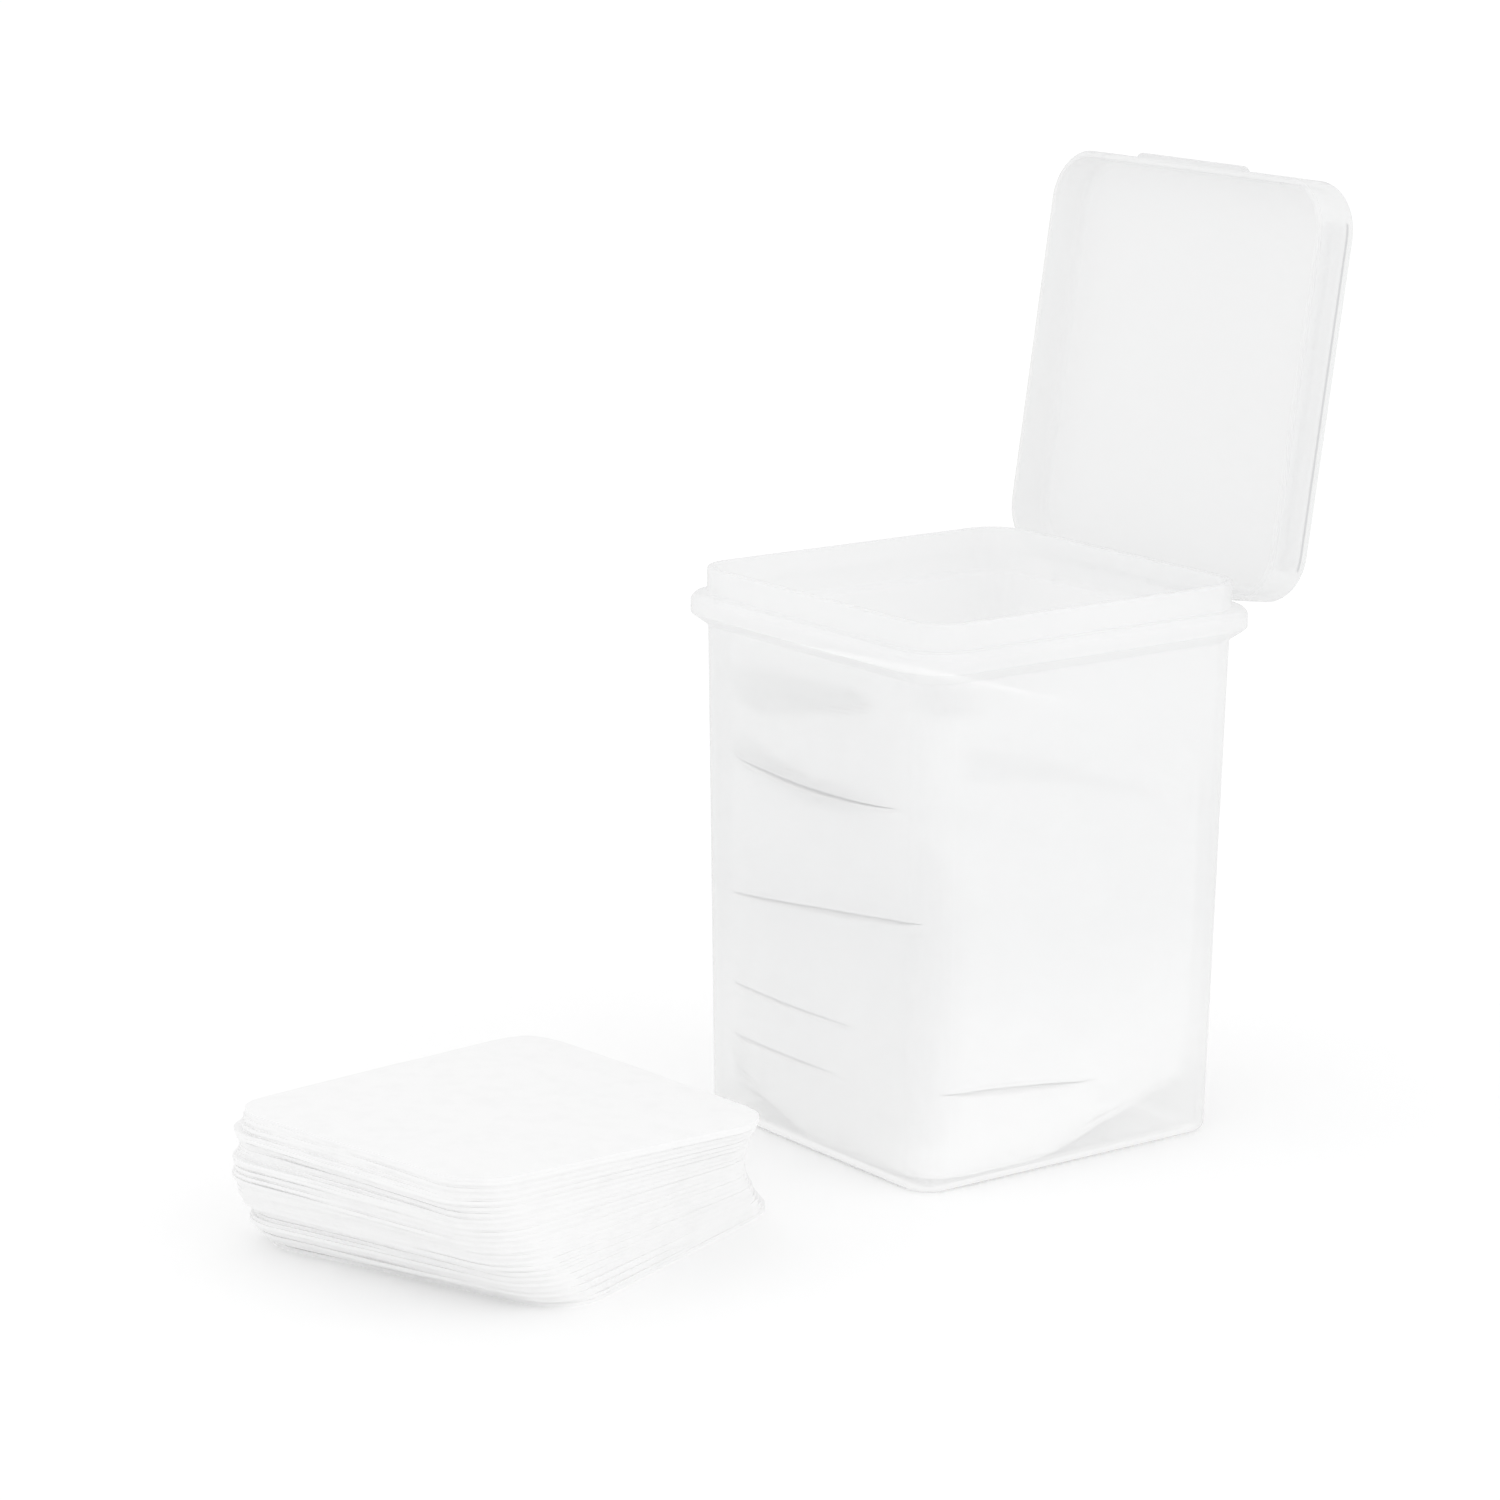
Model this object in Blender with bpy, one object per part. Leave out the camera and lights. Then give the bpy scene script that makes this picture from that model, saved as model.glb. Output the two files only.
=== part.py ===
# Nail wipe container: a tall translucent box with a hinged lid, filled with nonwoven wipes, and a
# loose pile of the same wipes beside it. Metres, Z up. The origin is the middle of the box's foot.
# The front faces -Y, the lid's hinge is at the back, and the lid stands open as it is photographed.
import math
import random

import bmesh
import bpy
from mathutils import Matrix, Vector

MM = 0.001

# Container, outside
FOOT_WIDTH = 52.0 * MM      # along X, at the very bottom
FOOT_DEPTH = 55.0 * MM      # along Y
DRAFT = math.radians(0.815)  # the walls lean out by this
UPRIGHT_CORNER = 4.7 * MM   # radius of the upright corners
FOOT_FILLET = 1.3 * MM
BODY_HEIGHT = 73.1 * MM     # where the bead leaves the wall

# Bead round the mouth, which the lid rests on
BEAD_REACH = 2.55 * MM      # how far its nose stands out from the wall
BEAD_SLOPE = 1.8 * MM       # height of its sloping underside
BEAD_NOSE = 2.1 * MM        # height of its upright nose
BEAD_SHOULDER = 0.75 * MM   # height of the slope above the nose
BEAD_SOFT = 0.3 * MM        # its nose's edges are taken off by this

# Neck above the bead, which the lid closes over
NECK_STEP_SIDE = 0.75 * MM  # it stands out from the side wall by this
NECK_STEP_FRONT = 0.5 * MM  # and from the front and back walls by this
NECK_CORNER = 6.3 * MM
NECK_HEIGHT = 3.75 * MM
RIM_ROUND = 0.35 * MM

# Container, inside
WALL = 1.1 * MM
NECK_WALL = 1.05 * MM
FLOOR = 1.2 * MM
INNER_CORNER = 3.6 * MM
INNER_FILLET = 1.0 * MM
LEDGE_RISE = 1.5 * MM       # the inner ledge is this far above the bead's root
LEDGE_SLOPE = 0.5 * MM

# Lid, as it sits when it is closed
LID_CLEARANCE = 0.4 * MM    # to the neck, all round
LID_LIFT = 0.3 * MM         # its rim over the bead
LID_WALL = 0.9 * MM
LID_DEPTH = 6.85 * MM       # rim to top
LID_FILLET = 0.8 * MM       # skirt into top, outside
LID_INNER_FILLET = 1.2 * MM # and inside
LID_BULGE = 0.6             # how much of a fillet the upright corners' radius loses
LID_EDGE = 0.5 * MM         # the bevel round its rim: height
LID_EDGE_IN = 0.22 * MM     # and width
LID_OPEN = 98.4             # degrees, as photographed
LID_FULLY_OPEN = 120.0      # degrees, where its back nears the bead

# Thumb lip on the lid's front edge, and the snap bead inside it
THUMB_WIDTH = 23.0 * MM
THUMB_REACH = 0.7 * MM
THUMB_THICK = 1.3 * MM
THUMB_RISE = 0.1 * MM       # over the lid's rim
SNAP_WIDTH = 38.0 * MM
SNAP_REACH = 0.22 * MM
SNAP_TALL = 0.88 * MM
SNAP_RISE = 1.1 * MM        # its middle over the lid's rim

# Living hinge: its axis, and the two halves of its web
HINGE_BACK = 0.15 * MM      # axis behind the closed lid's back
HINGE_DROP = 0.52 * MM      # axis below the closed lid's rim
WEB_WIDTH = 34.0 * MM
WEB_THICK = 0.4 * MM
WEB_GAP = 0.3 * MM          # to what carries it
WEB_PROUD = 0.08 * MM       # the lower half stands out from the bead's nose by this
WEB_LOWER_TALL = 1.6 * MM
WEB_CLEAR = 0.95 * MM       # top of the lower half, below the hinge axis
WEB_UPPER_TALL = 2.0 * MM
WEB_UPPER_RISE = 0.1 * MM   # bottom of the upper half, over the closed lid's rim

# Wipes, flat and packed
WIPE_WIDTH = 52.0 * MM
WIPE_DEPTH = 53.0 * MM
WIPE_CORNER = 7.0 * MM
WALL_CLEARANCE = 0.5 * MM   # packed wipes to the container's walls
SHEAF_GAP = 0.3 * MM        # between one sheaf and the next
WIPE_CELLS = 7              # faces along each edge of a sheaf

# Loose pile beside the container
PILE_SHEAVES = 22
PILE_HEIGHT = 20.6 * MM     # at its middle
PILE_NEAR_RISE = 1.0 * MM   # its near corner is higher by this, over half a wipe each way
PILE_CROWN = 0.3 * MM       # and its middle by this
PILE_SADDLE = 0.6 * MM      # near and far corners rise by this, left and right ones sink
PILE_FOOT = (2.0 * MM, -78.6 * MM)   # middle of its lowest wipe
PILE_WAIST = (5.5 * MM, -85.6 * MM)  # and at half height
PILE_TOP = (10.9 * MM, -87.6 * MM)
PILE_FOOT_TURN = 21.8       # degrees
PILE_TOP_TURN = 5.8
PILE_SLIP = 0.55 * MM       # how unevenly the wipes lie
PILE_SLIP_TURN = 1.1

CORNER_FACES = 7            # faces round each corner of the plastic mouldings
FILLET_FACES = 4            # and over each of their fillets
BAR_SIDES = 10              # faces round the thumb lip and the snap bead
SHARP = 35                  # degrees, from which an edge is shaded sharp
SEED = 7

# Sizes that follow from the ones above
BEAD_TOP = BODY_HEIGHT + BEAD_SLOPE + BEAD_NOSE + BEAD_SHOULDER
RIM_TOP = BEAD_TOP + NECK_HEIGHT
LEDGE_Z = BODY_HEIGHT + LEDGE_RISE


def wall_half(z):
    """Half width and half depth of the body's outside at a height."""
    lean = math.tan(DRAFT) * z
    return FOOT_WIDTH / 2 + lean, FOOT_DEPTH / 2 + lean


MOUTH_HALF = wall_half(BODY_HEIGHT)
NECK_HALF = (MOUTH_HALF[0] + NECK_STEP_SIDE, MOUTH_HALF[1] + NECK_STEP_FRONT)
NOSE_HALF = (MOUTH_HALF[0] + BEAD_REACH, MOUTH_HALF[1] + BEAD_REACH)
LID_INNER_HALF = (NECK_HALF[0] + LID_CLEARANCE, NECK_HALF[1] + LID_CLEARANCE)
LID_HALF = (LID_INNER_HALF[0] + LID_WALL, LID_INNER_HALF[1] + LID_WALL)
LID_RIM = BEAD_TOP + LID_LIFT
LID_TOP = LID_RIM + LID_DEPTH
LID_CORNER = NECK_CORNER + LID_CLEARANCE + LID_WALL
HINGE_Y = LID_HALF[1] + HINGE_BACK
HINGE_Z = LID_RIM - HINGE_DROP


# Scene and object helpers
def clear_scene():
    for item in list(bpy.data.objects):
        bpy.data.objects.remove(item, do_unlink=True)


def make_collection(name):
    made = bpy.data.collections.new(name)
    bpy.context.scene.collection.children.link(made)
    return made


def make_material(name, colour, roughness, alpha=1.0):
    made = bpy.data.materials.new(name)
    made.use_nodes = True
    shader = made.node_tree.nodes["Principled BSDF"]
    shader.inputs["Base Color"].default_value = (*colour, 1.0)
    shader.inputs["Roughness"].default_value = roughness
    shader.inputs["Metallic"].default_value = 0.0
    shader.inputs["Alpha"].default_value = alpha
    return made


def add_object(name, mesh, collection, material=None, place=(0, 0, 0)):
    """A named object whose origin is at place; the mesh comes in world coordinates."""
    made = bpy.data.objects.new(name, mesh)
    mesh.transform(Matrix.Translation(-Vector(place)))
    made.location = place
    collection.objects.link(made)
    if material:
        mesh.materials.append(material)
    return made


def add_cutter(name, mesh, collection):
    made = add_object(name, mesh, collection)
    made.hide_render = True
    made.display_type = "WIRE"
    return made


def add_boolean(target, operation, cutter):
    modifier = target.modifiers.new(f"{operation.lower()} {cutter.name}", "BOOLEAN")
    modifier.operation = operation
    modifier.solver = "EXACT"
    modifier.object = cutter


def shade(mesh):
    mesh.shade_smooth()
    mesh.set_sharp_from_angle(angle=math.radians(SHARP))


# Shapes
def rounded_ring(half, corner, z):
    """Points of a rounded rectangle at one height, anticlockwise from above."""
    corner = min(corner, *half)
    points = []
    for quarter, (side_x, side_y) in enumerate(((1, 1), (-1, 1), (-1, -1), (1, -1))):
        for step in range(CORNER_FACES + 1):
            angle = math.pi / 2 * (quarter + step / CORNER_FACES)
            x = side_x * (half[0] - corner) + corner * math.cos(angle)
            y = side_y * (half[1] - corner) + corner * math.sin(angle)
            points.append(Vector((x, y, z)))
    return points


def loft(rings, name):
    """A closed solid through a list of rings, capped on its first and last one."""
    shape = bmesh.new()
    loops = [[shape.verts.new(point) for point in ring] for ring in rings]
    for low, high in zip(loops, loops[1:]):
        for i in range(len(low)):
            j = (i + 1) % len(low)
            shape.faces.new((low[i], low[j], high[j], high[i]))
    shape.faces.new(list(reversed(loops[0])))
    shape.faces.new(loops[-1])
    bmesh.ops.recalc_face_normals(shape, faces=shape.faces)
    mesh = bpy.data.meshes.new(name)
    shape.to_mesh(mesh)
    shape.free()
    shade(mesh)
    return mesh


def shrink(half, by):
    return half[0] - by, half[1] - by


def fillet(half, corner, radius, z_side, z_flat, bulge=1):
    """Rings of a quarter round from an upright side to a flat one, curving towards the middle."""
    rings = []
    for step in range(FILLET_FACES + 1):
        angle = math.pi / 2 * step / FILLET_FACES
        inset = radius * (1 - math.cos(angle))
        z = z_side + (z_flat - z_side) * math.sin(angle)
        rings.append(rounded_ring(shrink(half, inset), corner - inset * bulge, z))
    return rings


def box_mesh(name, low, high):
    """A cuboid between two corners."""
    shape = bmesh.new()
    bmesh.ops.create_cube(shape, size=1.0)
    size = Vector(high) - Vector(low)
    middle = (Vector(high) + Vector(low)) / 2
    bmesh.ops.scale(shape, vec=size, verts=shape.verts)
    bmesh.ops.translate(shape, vec=middle, verts=shape.verts)
    mesh = bpy.data.meshes.new(name)
    shape.to_mesh(mesh)
    shape.free()
    return mesh


def bar_mesh(name, size, centre):
    """A bar along X with an oval section."""
    shape = bmesh.new()
    bmesh.ops.create_cone(
        shape, cap_ends=True, segments=BAR_SIDES, radius1=0.5, radius2=0.5, depth=1.0,
        matrix=Matrix.Rotation(math.pi / 2, 4, "Y"),
    )
    bmesh.ops.scale(shape, vec=size, verts=shape.verts)
    bmesh.ops.translate(shape, vec=centre, verts=shape.verts)
    mesh = bpy.data.meshes.new(name)
    shape.to_mesh(mesh)
    shape.free()
    return mesh


# Container
def container_rings():
    """Up the outside, over the rim and down the inside to the floor."""
    rings = fillet(wall_half(0), UPRIGHT_CORNER, FOOT_FILLET, FOOT_FILLET, 0.0)
    rings.reverse()
    rings.append(rounded_ring(MOUTH_HALF, UPRIGHT_CORNER, BODY_HEIGHT))
    nose_low = BODY_HEIGHT + BEAD_SLOPE
    nose_high = nose_low + BEAD_NOSE
    nose_corner = UPRIGHT_CORNER + BEAD_REACH
    rings.append(rounded_ring(shrink(NOSE_HALF, BEAD_SOFT), nose_corner - BEAD_SOFT, nose_low - BEAD_SOFT))
    rings.append(rounded_ring(NOSE_HALF, nose_corner, nose_low + BEAD_SOFT))
    rings.append(rounded_ring(NOSE_HALF, nose_corner, nose_high - BEAD_SOFT))
    rings.append(rounded_ring(shrink(NOSE_HALF, BEAD_SHOULDER), nose_corner - BEAD_SHOULDER, BEAD_TOP))
    rings.append(rounded_ring(NECK_HALF, NECK_CORNER, BEAD_TOP))
    rings.append(rounded_ring(NECK_HALF, NECK_CORNER, RIM_TOP - RIM_ROUND))
    rings.append(rounded_ring(shrink(NECK_HALF, RIM_ROUND), NECK_CORNER - RIM_ROUND, RIM_TOP))
    inner_half = shrink(NECK_HALF, NECK_WALL)
    inner_corner = NECK_CORNER - NECK_WALL
    rings.append(rounded_ring(shrink(inner_half, -RIM_ROUND), inner_corner + RIM_ROUND, RIM_TOP))
    rings.append(rounded_ring(inner_half, inner_corner, RIM_TOP - RIM_ROUND))
    rings.append(rounded_ring(inner_half, inner_corner, LEDGE_Z + LEDGE_SLOPE))
    rings.append(rounded_ring(shrink(wall_half(LEDGE_Z), WALL), INNER_CORNER, LEDGE_Z))
    floor_half = shrink(wall_half(FLOOR), WALL)
    rings += fillet(floor_half, INNER_CORNER, INNER_FILLET, FLOOR + INNER_FILLET, FLOOR)
    return rings


def make_container(collection, cutters, material):
    body = add_object("container_body", loft(container_rings(), "container_body"), collection, material)
    pocket_floor = web_lower_front() - WEB_GAP
    pocket = box_mesh(
        "web_pocket",
        (-WEB_WIDTH / 2 - WEB_GAP, pocket_floor, web_lower_top() - WEB_LOWER_TALL - WEB_GAP),
        (WEB_WIDTH / 2 + WEB_GAP, NOSE_HALF[1] + BEAD_REACH, BEAD_TOP + LID_LIFT),
    )
    add_boolean(body, "DIFFERENCE", add_cutter("web_pocket", pocket, cutters))
    return body


# Living hinge
def web_lower_front():
    """Y of the lower half's inner face."""
    return NOSE_HALF[1] + WEB_PROUD - WEB_THICK


def web_lower_top():
    return HINGE_Z - WEB_CLEAR


def make_web_lower(collection, material):
    top = web_lower_top()
    low = (-WEB_WIDTH / 2, web_lower_front(), top - WEB_LOWER_TALL)
    high = (WEB_WIDTH / 2, web_lower_front() + WEB_THICK, top)
    return add_object("hinge_web_lower", box_mesh("hinge_web_lower", low, high), collection, material)


def web_upper_low():
    """Lowest corner of the upper half on the closed lid."""
    return Vector((-WEB_WIDTH / 2, LID_HALF[1] - WEB_THICK / 2, LID_RIM + WEB_UPPER_RISE))


def make_web_upper(collection, material, lid_axis):
    low = web_upper_low()
    high = low + Vector((WEB_WIDTH, WEB_THICK, WEB_UPPER_TALL))
    mesh = box_mesh("hinge_web_upper", low, high)
    web = add_object("hinge_web_upper", mesh, collection, material, (0, HINGE_Y, HINGE_Z))
    web.parent = lid_axis
    web.location = (0, 0, 0)
    return web


# Lid
def lid_rings():
    """The closed lid's outside, from the rim up its skirt and over the top."""
    rings = [rounded_ring(shrink(LID_HALF, LID_EDGE_IN), LID_CORNER - LID_EDGE_IN, LID_RIM)]
    rings.append(rounded_ring(LID_HALF, LID_CORNER, LID_RIM + LID_EDGE))
    rings += fillet(LID_HALF, LID_CORNER, LID_FILLET, LID_TOP - LID_FILLET, LID_TOP, LID_BULGE)
    return rings


def lid_cavity_rings():
    corner = LID_CORNER - LID_WALL
    radius = LID_INNER_FILLET
    ceiling = LID_TOP - LID_WALL
    rings = [rounded_ring(LID_INNER_HALF, corner, LID_RIM - LID_WALL)]
    rings += fillet(LID_INNER_HALF, corner, radius, ceiling - radius, ceiling, LID_BULGE)
    return rings


def make_lid(collection, cutters, material, lid_axis):
    lid = add_object("lid", loft(lid_rings(), "lid"), collection, material, (0, HINGE_Y, HINGE_Z))
    front = -LID_HALF[1]
    thumb = bar_mesh(
        "thumb_lip", (THUMB_WIDTH, 2 * THUMB_REACH + LID_WALL, THUMB_THICK),
        (0, front + LID_WALL / 2, LID_RIM + THUMB_RISE + THUMB_THICK / 2),
    )
    add_boolean(lid, "UNION", placed_on_lid(add_cutter("thumb_lip", thumb, cutters), lid_axis))
    cavity = loft(lid_cavity_rings(), "lid_cavity")
    add_boolean(lid, "DIFFERENCE", placed_on_lid(add_cutter("lid_cavity", cavity, cutters), lid_axis))
    snap = bar_mesh(
        "snap_bead", (SNAP_WIDTH, 2 * SNAP_REACH, SNAP_TALL), (0, front + LID_WALL, LID_RIM + SNAP_RISE)
    )
    add_boolean(lid, "UNION", placed_on_lid(add_cutter("snap_bead", snap, cutters), lid_axis))
    pocket_low = web_upper_low() - Vector((WEB_GAP, WEB_GAP, LID_WALL))
    pocket_high = web_upper_low() + Vector((WEB_WIDTH + WEB_GAP, LID_WALL, WEB_UPPER_TALL + WEB_GAP))
    pocket = box_mesh("lid_web_pocket", pocket_low, pocket_high)
    add_boolean(lid, "DIFFERENCE", placed_on_lid(add_cutter("lid_web_pocket", pocket, cutters), lid_axis))
    lid.parent = lid_axis
    lid.location = (0, 0, 0)
    return lid


def placed_on_lid(item, lid_axis):
    """Moves an item's origin to the hinge axis and hangs it on the lid's empty."""
    item.data.transform(Matrix.Translation((0, -HINGE_Y, -HINGE_Z)))
    item.parent = lid_axis
    return item


# Wipes
def wipe_edges(half, corner):
    """Grid lines along one side: two cells over each rounded corner, the rest between them."""
    middle = WIPE_CELLS - 4
    inner = half - corner
    lines = [-half, -half + corner / 2]
    lines += [-inner + 2 * inner * step / middle for step in range(middle + 1)]
    return lines + [half - corner / 2, half]


def round_off(x, y, half, corner):
    """Pulls a point of the square's corner cells in to the rounded corner."""
    over_x = abs(x) - (half[0] - corner)
    over_y = abs(y) - (half[1] - corner)
    if over_x <= 0 or over_y <= 0:
        return x, y
    pull = max(over_x, over_y) / math.hypot(over_x, over_y)
    new_x = half[0] - corner + over_x * pull
    new_y = half[1] - corner + over_y * pull
    return math.copysign(new_x, x), math.copysign(new_y, y)


def sheaf_mesh(name, half, corner, lower, upper, turn=0.0, centre=(0.0, 0.0)):
    """A sheaf of wipes between two height functions of world x and y, from a subdivided cube."""
    shape = bmesh.new()
    bmesh.ops.create_cube(shape, size=1.0)
    flat = [e for e in shape.edges if abs(e.verts[0].co.z - e.verts[1].co.z) < 0.5]
    bmesh.ops.subdivide_edges(shape, edges=flat, cuts=WIPE_CELLS - 1, use_grid_fill=True)
    lines_x = wipe_edges(half[0], corner)
    lines_y = wipe_edges(half[1], corner)
    spin = math.radians(turn)
    for vert in shape.verts:
        column = round((vert.co.x + 0.5) * WIPE_CELLS)
        row = round((vert.co.y + 0.5) * WIPE_CELLS)
        flat_x, flat_y = round_off(lines_x[column], lines_y[row], half, corner)
        x = centre[0] + flat_x * math.cos(spin) - flat_y * math.sin(spin)
        y = centre[1] + flat_x * math.sin(spin) + flat_y * math.cos(spin)
        vert.co = (x, y, upper(x, y) if vert.co.z > 0 else lower(x, y))
    mesh = bpy.data.meshes.new(name)
    shape.to_mesh(mesh)
    shape.free()
    shade(mesh)
    return mesh


# Packed wipes, bottom to top, in a body as tall as PACKED_BODY. Each layer is a group of sheaves, or
# with none a hollow. It has its thickness at the middle, and the shares of that which it gains over
# half a wipe: to the right, towards both sides, to the back, and where the back edge curls up.
PACKED_BODY = 73.1 * MM
PACKED_LAYERS = (
    dict(sheaves=0, thick=0.2 * MM, right=0.0, sides=0.0, back=0.0, curl=42.5),
    dict(sheaves=5, thick=8.4 * MM, right=0.083, sides=0.119, back=-0.298, curl=0.0),
    dict(sheaves=3, thick=7.9 * MM, right=-0.025, sides=0.0, back=0.025, curl=-0.19),
    dict(sheaves=6, thick=15.9 * MM, right=0.132, sides=-0.031, back=0.019, curl=-0.252),
    dict(sheaves=6, thick=14.4 * MM, right=-0.167, sides=0.132, back=-0.174, curl=-0.347),
    dict(sheaves=2, thick=5.1 * MM, right=0.244, sides=-0.056, back=-0.068, curl=-0.477),
    dict(sheaves=3, thick=7.3 * MM, right=0.159, sides=-0.318, back=0.041, curl=-0.514),
    dict(sheaves=0, thick=1.2 * MM, right=-1.4, sides=0.1, back=-1.5, curl=0.3),
    dict(sheaves=2, thick=4.6 * MM, right=0.0, sides=0.0, back=-0.087, curl=-0.304),
)
CURL_LEFT = 0.4             # the curl at the left edge, as a share of the right edge's


def packed_half():
    """Half size of a packed wipe: its own size, or what the walls leave."""
    floor_half = shrink(wall_half(0), WALL + WALL_CLEARANCE)
    return min(WIPE_WIDTH / 2, floor_half[0]), min(WIPE_DEPTH / 2, floor_half[1])


def layer_thickness(layer, x, y, half):
    """Thickness of one layer at a point."""
    across = x / half[0]
    behind = y / half[1]
    curled = max(0.0, behind) ** 2 * ((1 + CURL_LEFT) / 2 + (1 - CURL_LEFT) / 2 * across)
    share = 1 + layer["right"] * across + layer["sides"] * across ** 2
    share += layer["back"] * behind + layer["curl"] * curled
    fill = (BODY_HEIGHT - FLOOR) / (PACKED_BODY - FLOOR)
    return layer["thick"] * fill * max(0.0, share)


def packed_height(below, share, x, y, half):
    """Height at a point, a share of the way up through the layer that has below layers under it."""
    under = sum(layer_thickness(layer, x, y, half) for layer in PACKED_LAYERS[:below])
    return FLOOR + under + share * layer_thickness(PACKED_LAYERS[below], x, y, half)


def make_packed_wipes(collection, material):
    half = packed_half()
    number = 0
    for below, layer in enumerate(PACKED_LAYERS):
        for index in range(layer["sheaves"]):

            def lower(x, y, below=below, share=index / layer["sheaves"]):
                return packed_height(below, share, x, y, half) + SHEAF_GAP / 2

            def upper(x, y, below=below, share=(index + 1) / layer["sheaves"]):
                return packed_height(below, share, x, y, half) - SHEAF_GAP / 2

            number += 1
            name = f"packed_wipes_{number:02d}"
            add_object(name, sheaf_mesh(name, half, WIPE_CORNER, lower, upper), collection, material)


def along_pile(foot, waist, top, share):
    """A value on the parabola through its values at the foot, waist and top of the pile."""
    near_foot = (1 - share) * (1 - 2 * share)
    near_top = share * (2 * share - 1)
    return foot * near_foot + waist * (1 - near_foot - near_top) + top * near_top


def pile_swell(x, y):
    """How much taller or lower the pile is at a point, at its top."""
    along = (x - PILE_TOP[0]) / WIPE_WIDTH
    forward = (PILE_TOP[1] - y) / WIPE_DEPTH
    tilt = PILE_NEAR_RISE * (along + forward) + 4 * PILE_SADDLE * along * forward
    return tilt + PILE_CROWN * (1 - 2 * along ** 2 - 2 * forward ** 2)


def make_loose_pile(collection, material):
    luck = random.Random(SEED)
    half = (WIPE_WIDTH / 2, WIPE_DEPTH / 2)
    for index in range(PILE_SHEAVES):
        share = index / (PILE_SHEAVES - 1)
        turn = PILE_FOOT_TURN + (PILE_TOP_TURN - PILE_FOOT_TURN) * share
        turn += luck.uniform(-1, 1) * PILE_SLIP_TURN
        centre = [
            along_pile(PILE_FOOT[k], PILE_WAIST[k], PILE_TOP[k], share) + luck.uniform(-1, 1) * PILE_SLIP
            for k in (0, 1)
        ]

        def lower(x, y, share=index / PILE_SHEAVES):
            return share * (PILE_HEIGHT + SHEAF_GAP + pile_swell(x, y))

        def upper(x, y, share=(index + 1) / PILE_SHEAVES):
            return share * (PILE_HEIGHT + SHEAF_GAP + pile_swell(x, y)) - SHEAF_GAP

        name = f"loose_wipes_{index + 1:02d}"
        mesh = sheaf_mesh(name, half, WIPE_CORNER, lower, upper, turn, centre)
        add_object(name, mesh, collection, material)


def main():
    clear_scene()
    parts = make_collection("nail_wipe_container")
    cutters = make_collection("cutters")
    frosted = make_material("frosted polypropylene", (0.88, 0.89, 0.9), 0.35, 0.5)
    lid_plastic = make_material("lid polypropylene", (0.88, 0.89, 0.9), 0.32, 0.5)
    web_plastic = make_material("hinge polypropylene", (0.84, 0.85, 0.86), 0.4, 0.6)
    packed_cloth = make_material("packed nonwoven", (0.9, 0.9, 0.9), 0.95)
    loose_cloth = make_material("loose nonwoven", (0.93, 0.93, 0.93), 0.95)

    lid_axis = bpy.data.objects.new("lid_hinge_axis", None)
    lid_axis.location = (0, HINGE_Y, HINGE_Z)
    lid_axis.rotation_euler = (math.radians(-LID_OPEN), 0, 0)
    parts.objects.link(lid_axis)

    make_container(parts, cutters, frosted)
    make_web_lower(parts, web_plastic)
    make_lid(parts, cutters, lid_plastic, lid_axis)
    make_web_upper(parts, web_plastic, lid_axis)
    make_packed_wipes(parts, packed_cloth)
    make_loose_pile(parts, loose_cloth)
    bpy.context.view_layer.update()
    print(f"closed height {LID_TOP / MM:.1f} mm")
    print(f"bead {2 * NOSE_HALF[0] / MM:.1f} by {2 * NOSE_HALF[1] / MM:.1f} mm")
    print(f"hinge axis y {HINGE_Y / MM:.3f} z {HINGE_Z / MM:.3f} mm")
    print(f"lid turns {LID_OPEN - LID_FULLY_OPEN:.1f} to {LID_OPEN:.1f} degrees from its place here")


main()
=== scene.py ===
import math
import random

import bpy
import numpy as np
from mathutils import Matrix, Vector


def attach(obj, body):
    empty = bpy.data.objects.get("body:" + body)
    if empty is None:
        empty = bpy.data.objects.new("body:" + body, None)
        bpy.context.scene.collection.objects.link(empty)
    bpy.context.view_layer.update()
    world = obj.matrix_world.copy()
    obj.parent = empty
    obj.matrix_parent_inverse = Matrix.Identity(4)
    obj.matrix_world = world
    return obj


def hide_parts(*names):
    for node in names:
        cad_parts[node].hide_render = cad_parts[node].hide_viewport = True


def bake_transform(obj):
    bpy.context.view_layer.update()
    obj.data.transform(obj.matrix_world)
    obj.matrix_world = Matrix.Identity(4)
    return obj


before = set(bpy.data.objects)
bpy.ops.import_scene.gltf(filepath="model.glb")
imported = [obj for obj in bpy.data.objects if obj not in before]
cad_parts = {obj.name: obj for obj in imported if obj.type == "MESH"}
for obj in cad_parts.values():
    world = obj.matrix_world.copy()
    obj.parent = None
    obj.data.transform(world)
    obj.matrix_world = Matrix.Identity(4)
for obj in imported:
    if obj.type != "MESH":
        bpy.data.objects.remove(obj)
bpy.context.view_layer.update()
scene = bpy.context.scene
mm = 0.001  # every size below is in millimetres
print("frame loaded:", len(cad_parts), "solids")


camera = dict(
    focalPixels=4652.07, picture=1500,  # focal length in pixels of the whole picture
    azimuth=53.131, elevation=13.183, roll=0.523,
    target=(0.0, 0.0, 42.99), seenAt=(963.178, 834.111), distance=673.66,
    sensor=36.0, clip=(0.01, 50),  # the clip in metres
)


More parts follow.
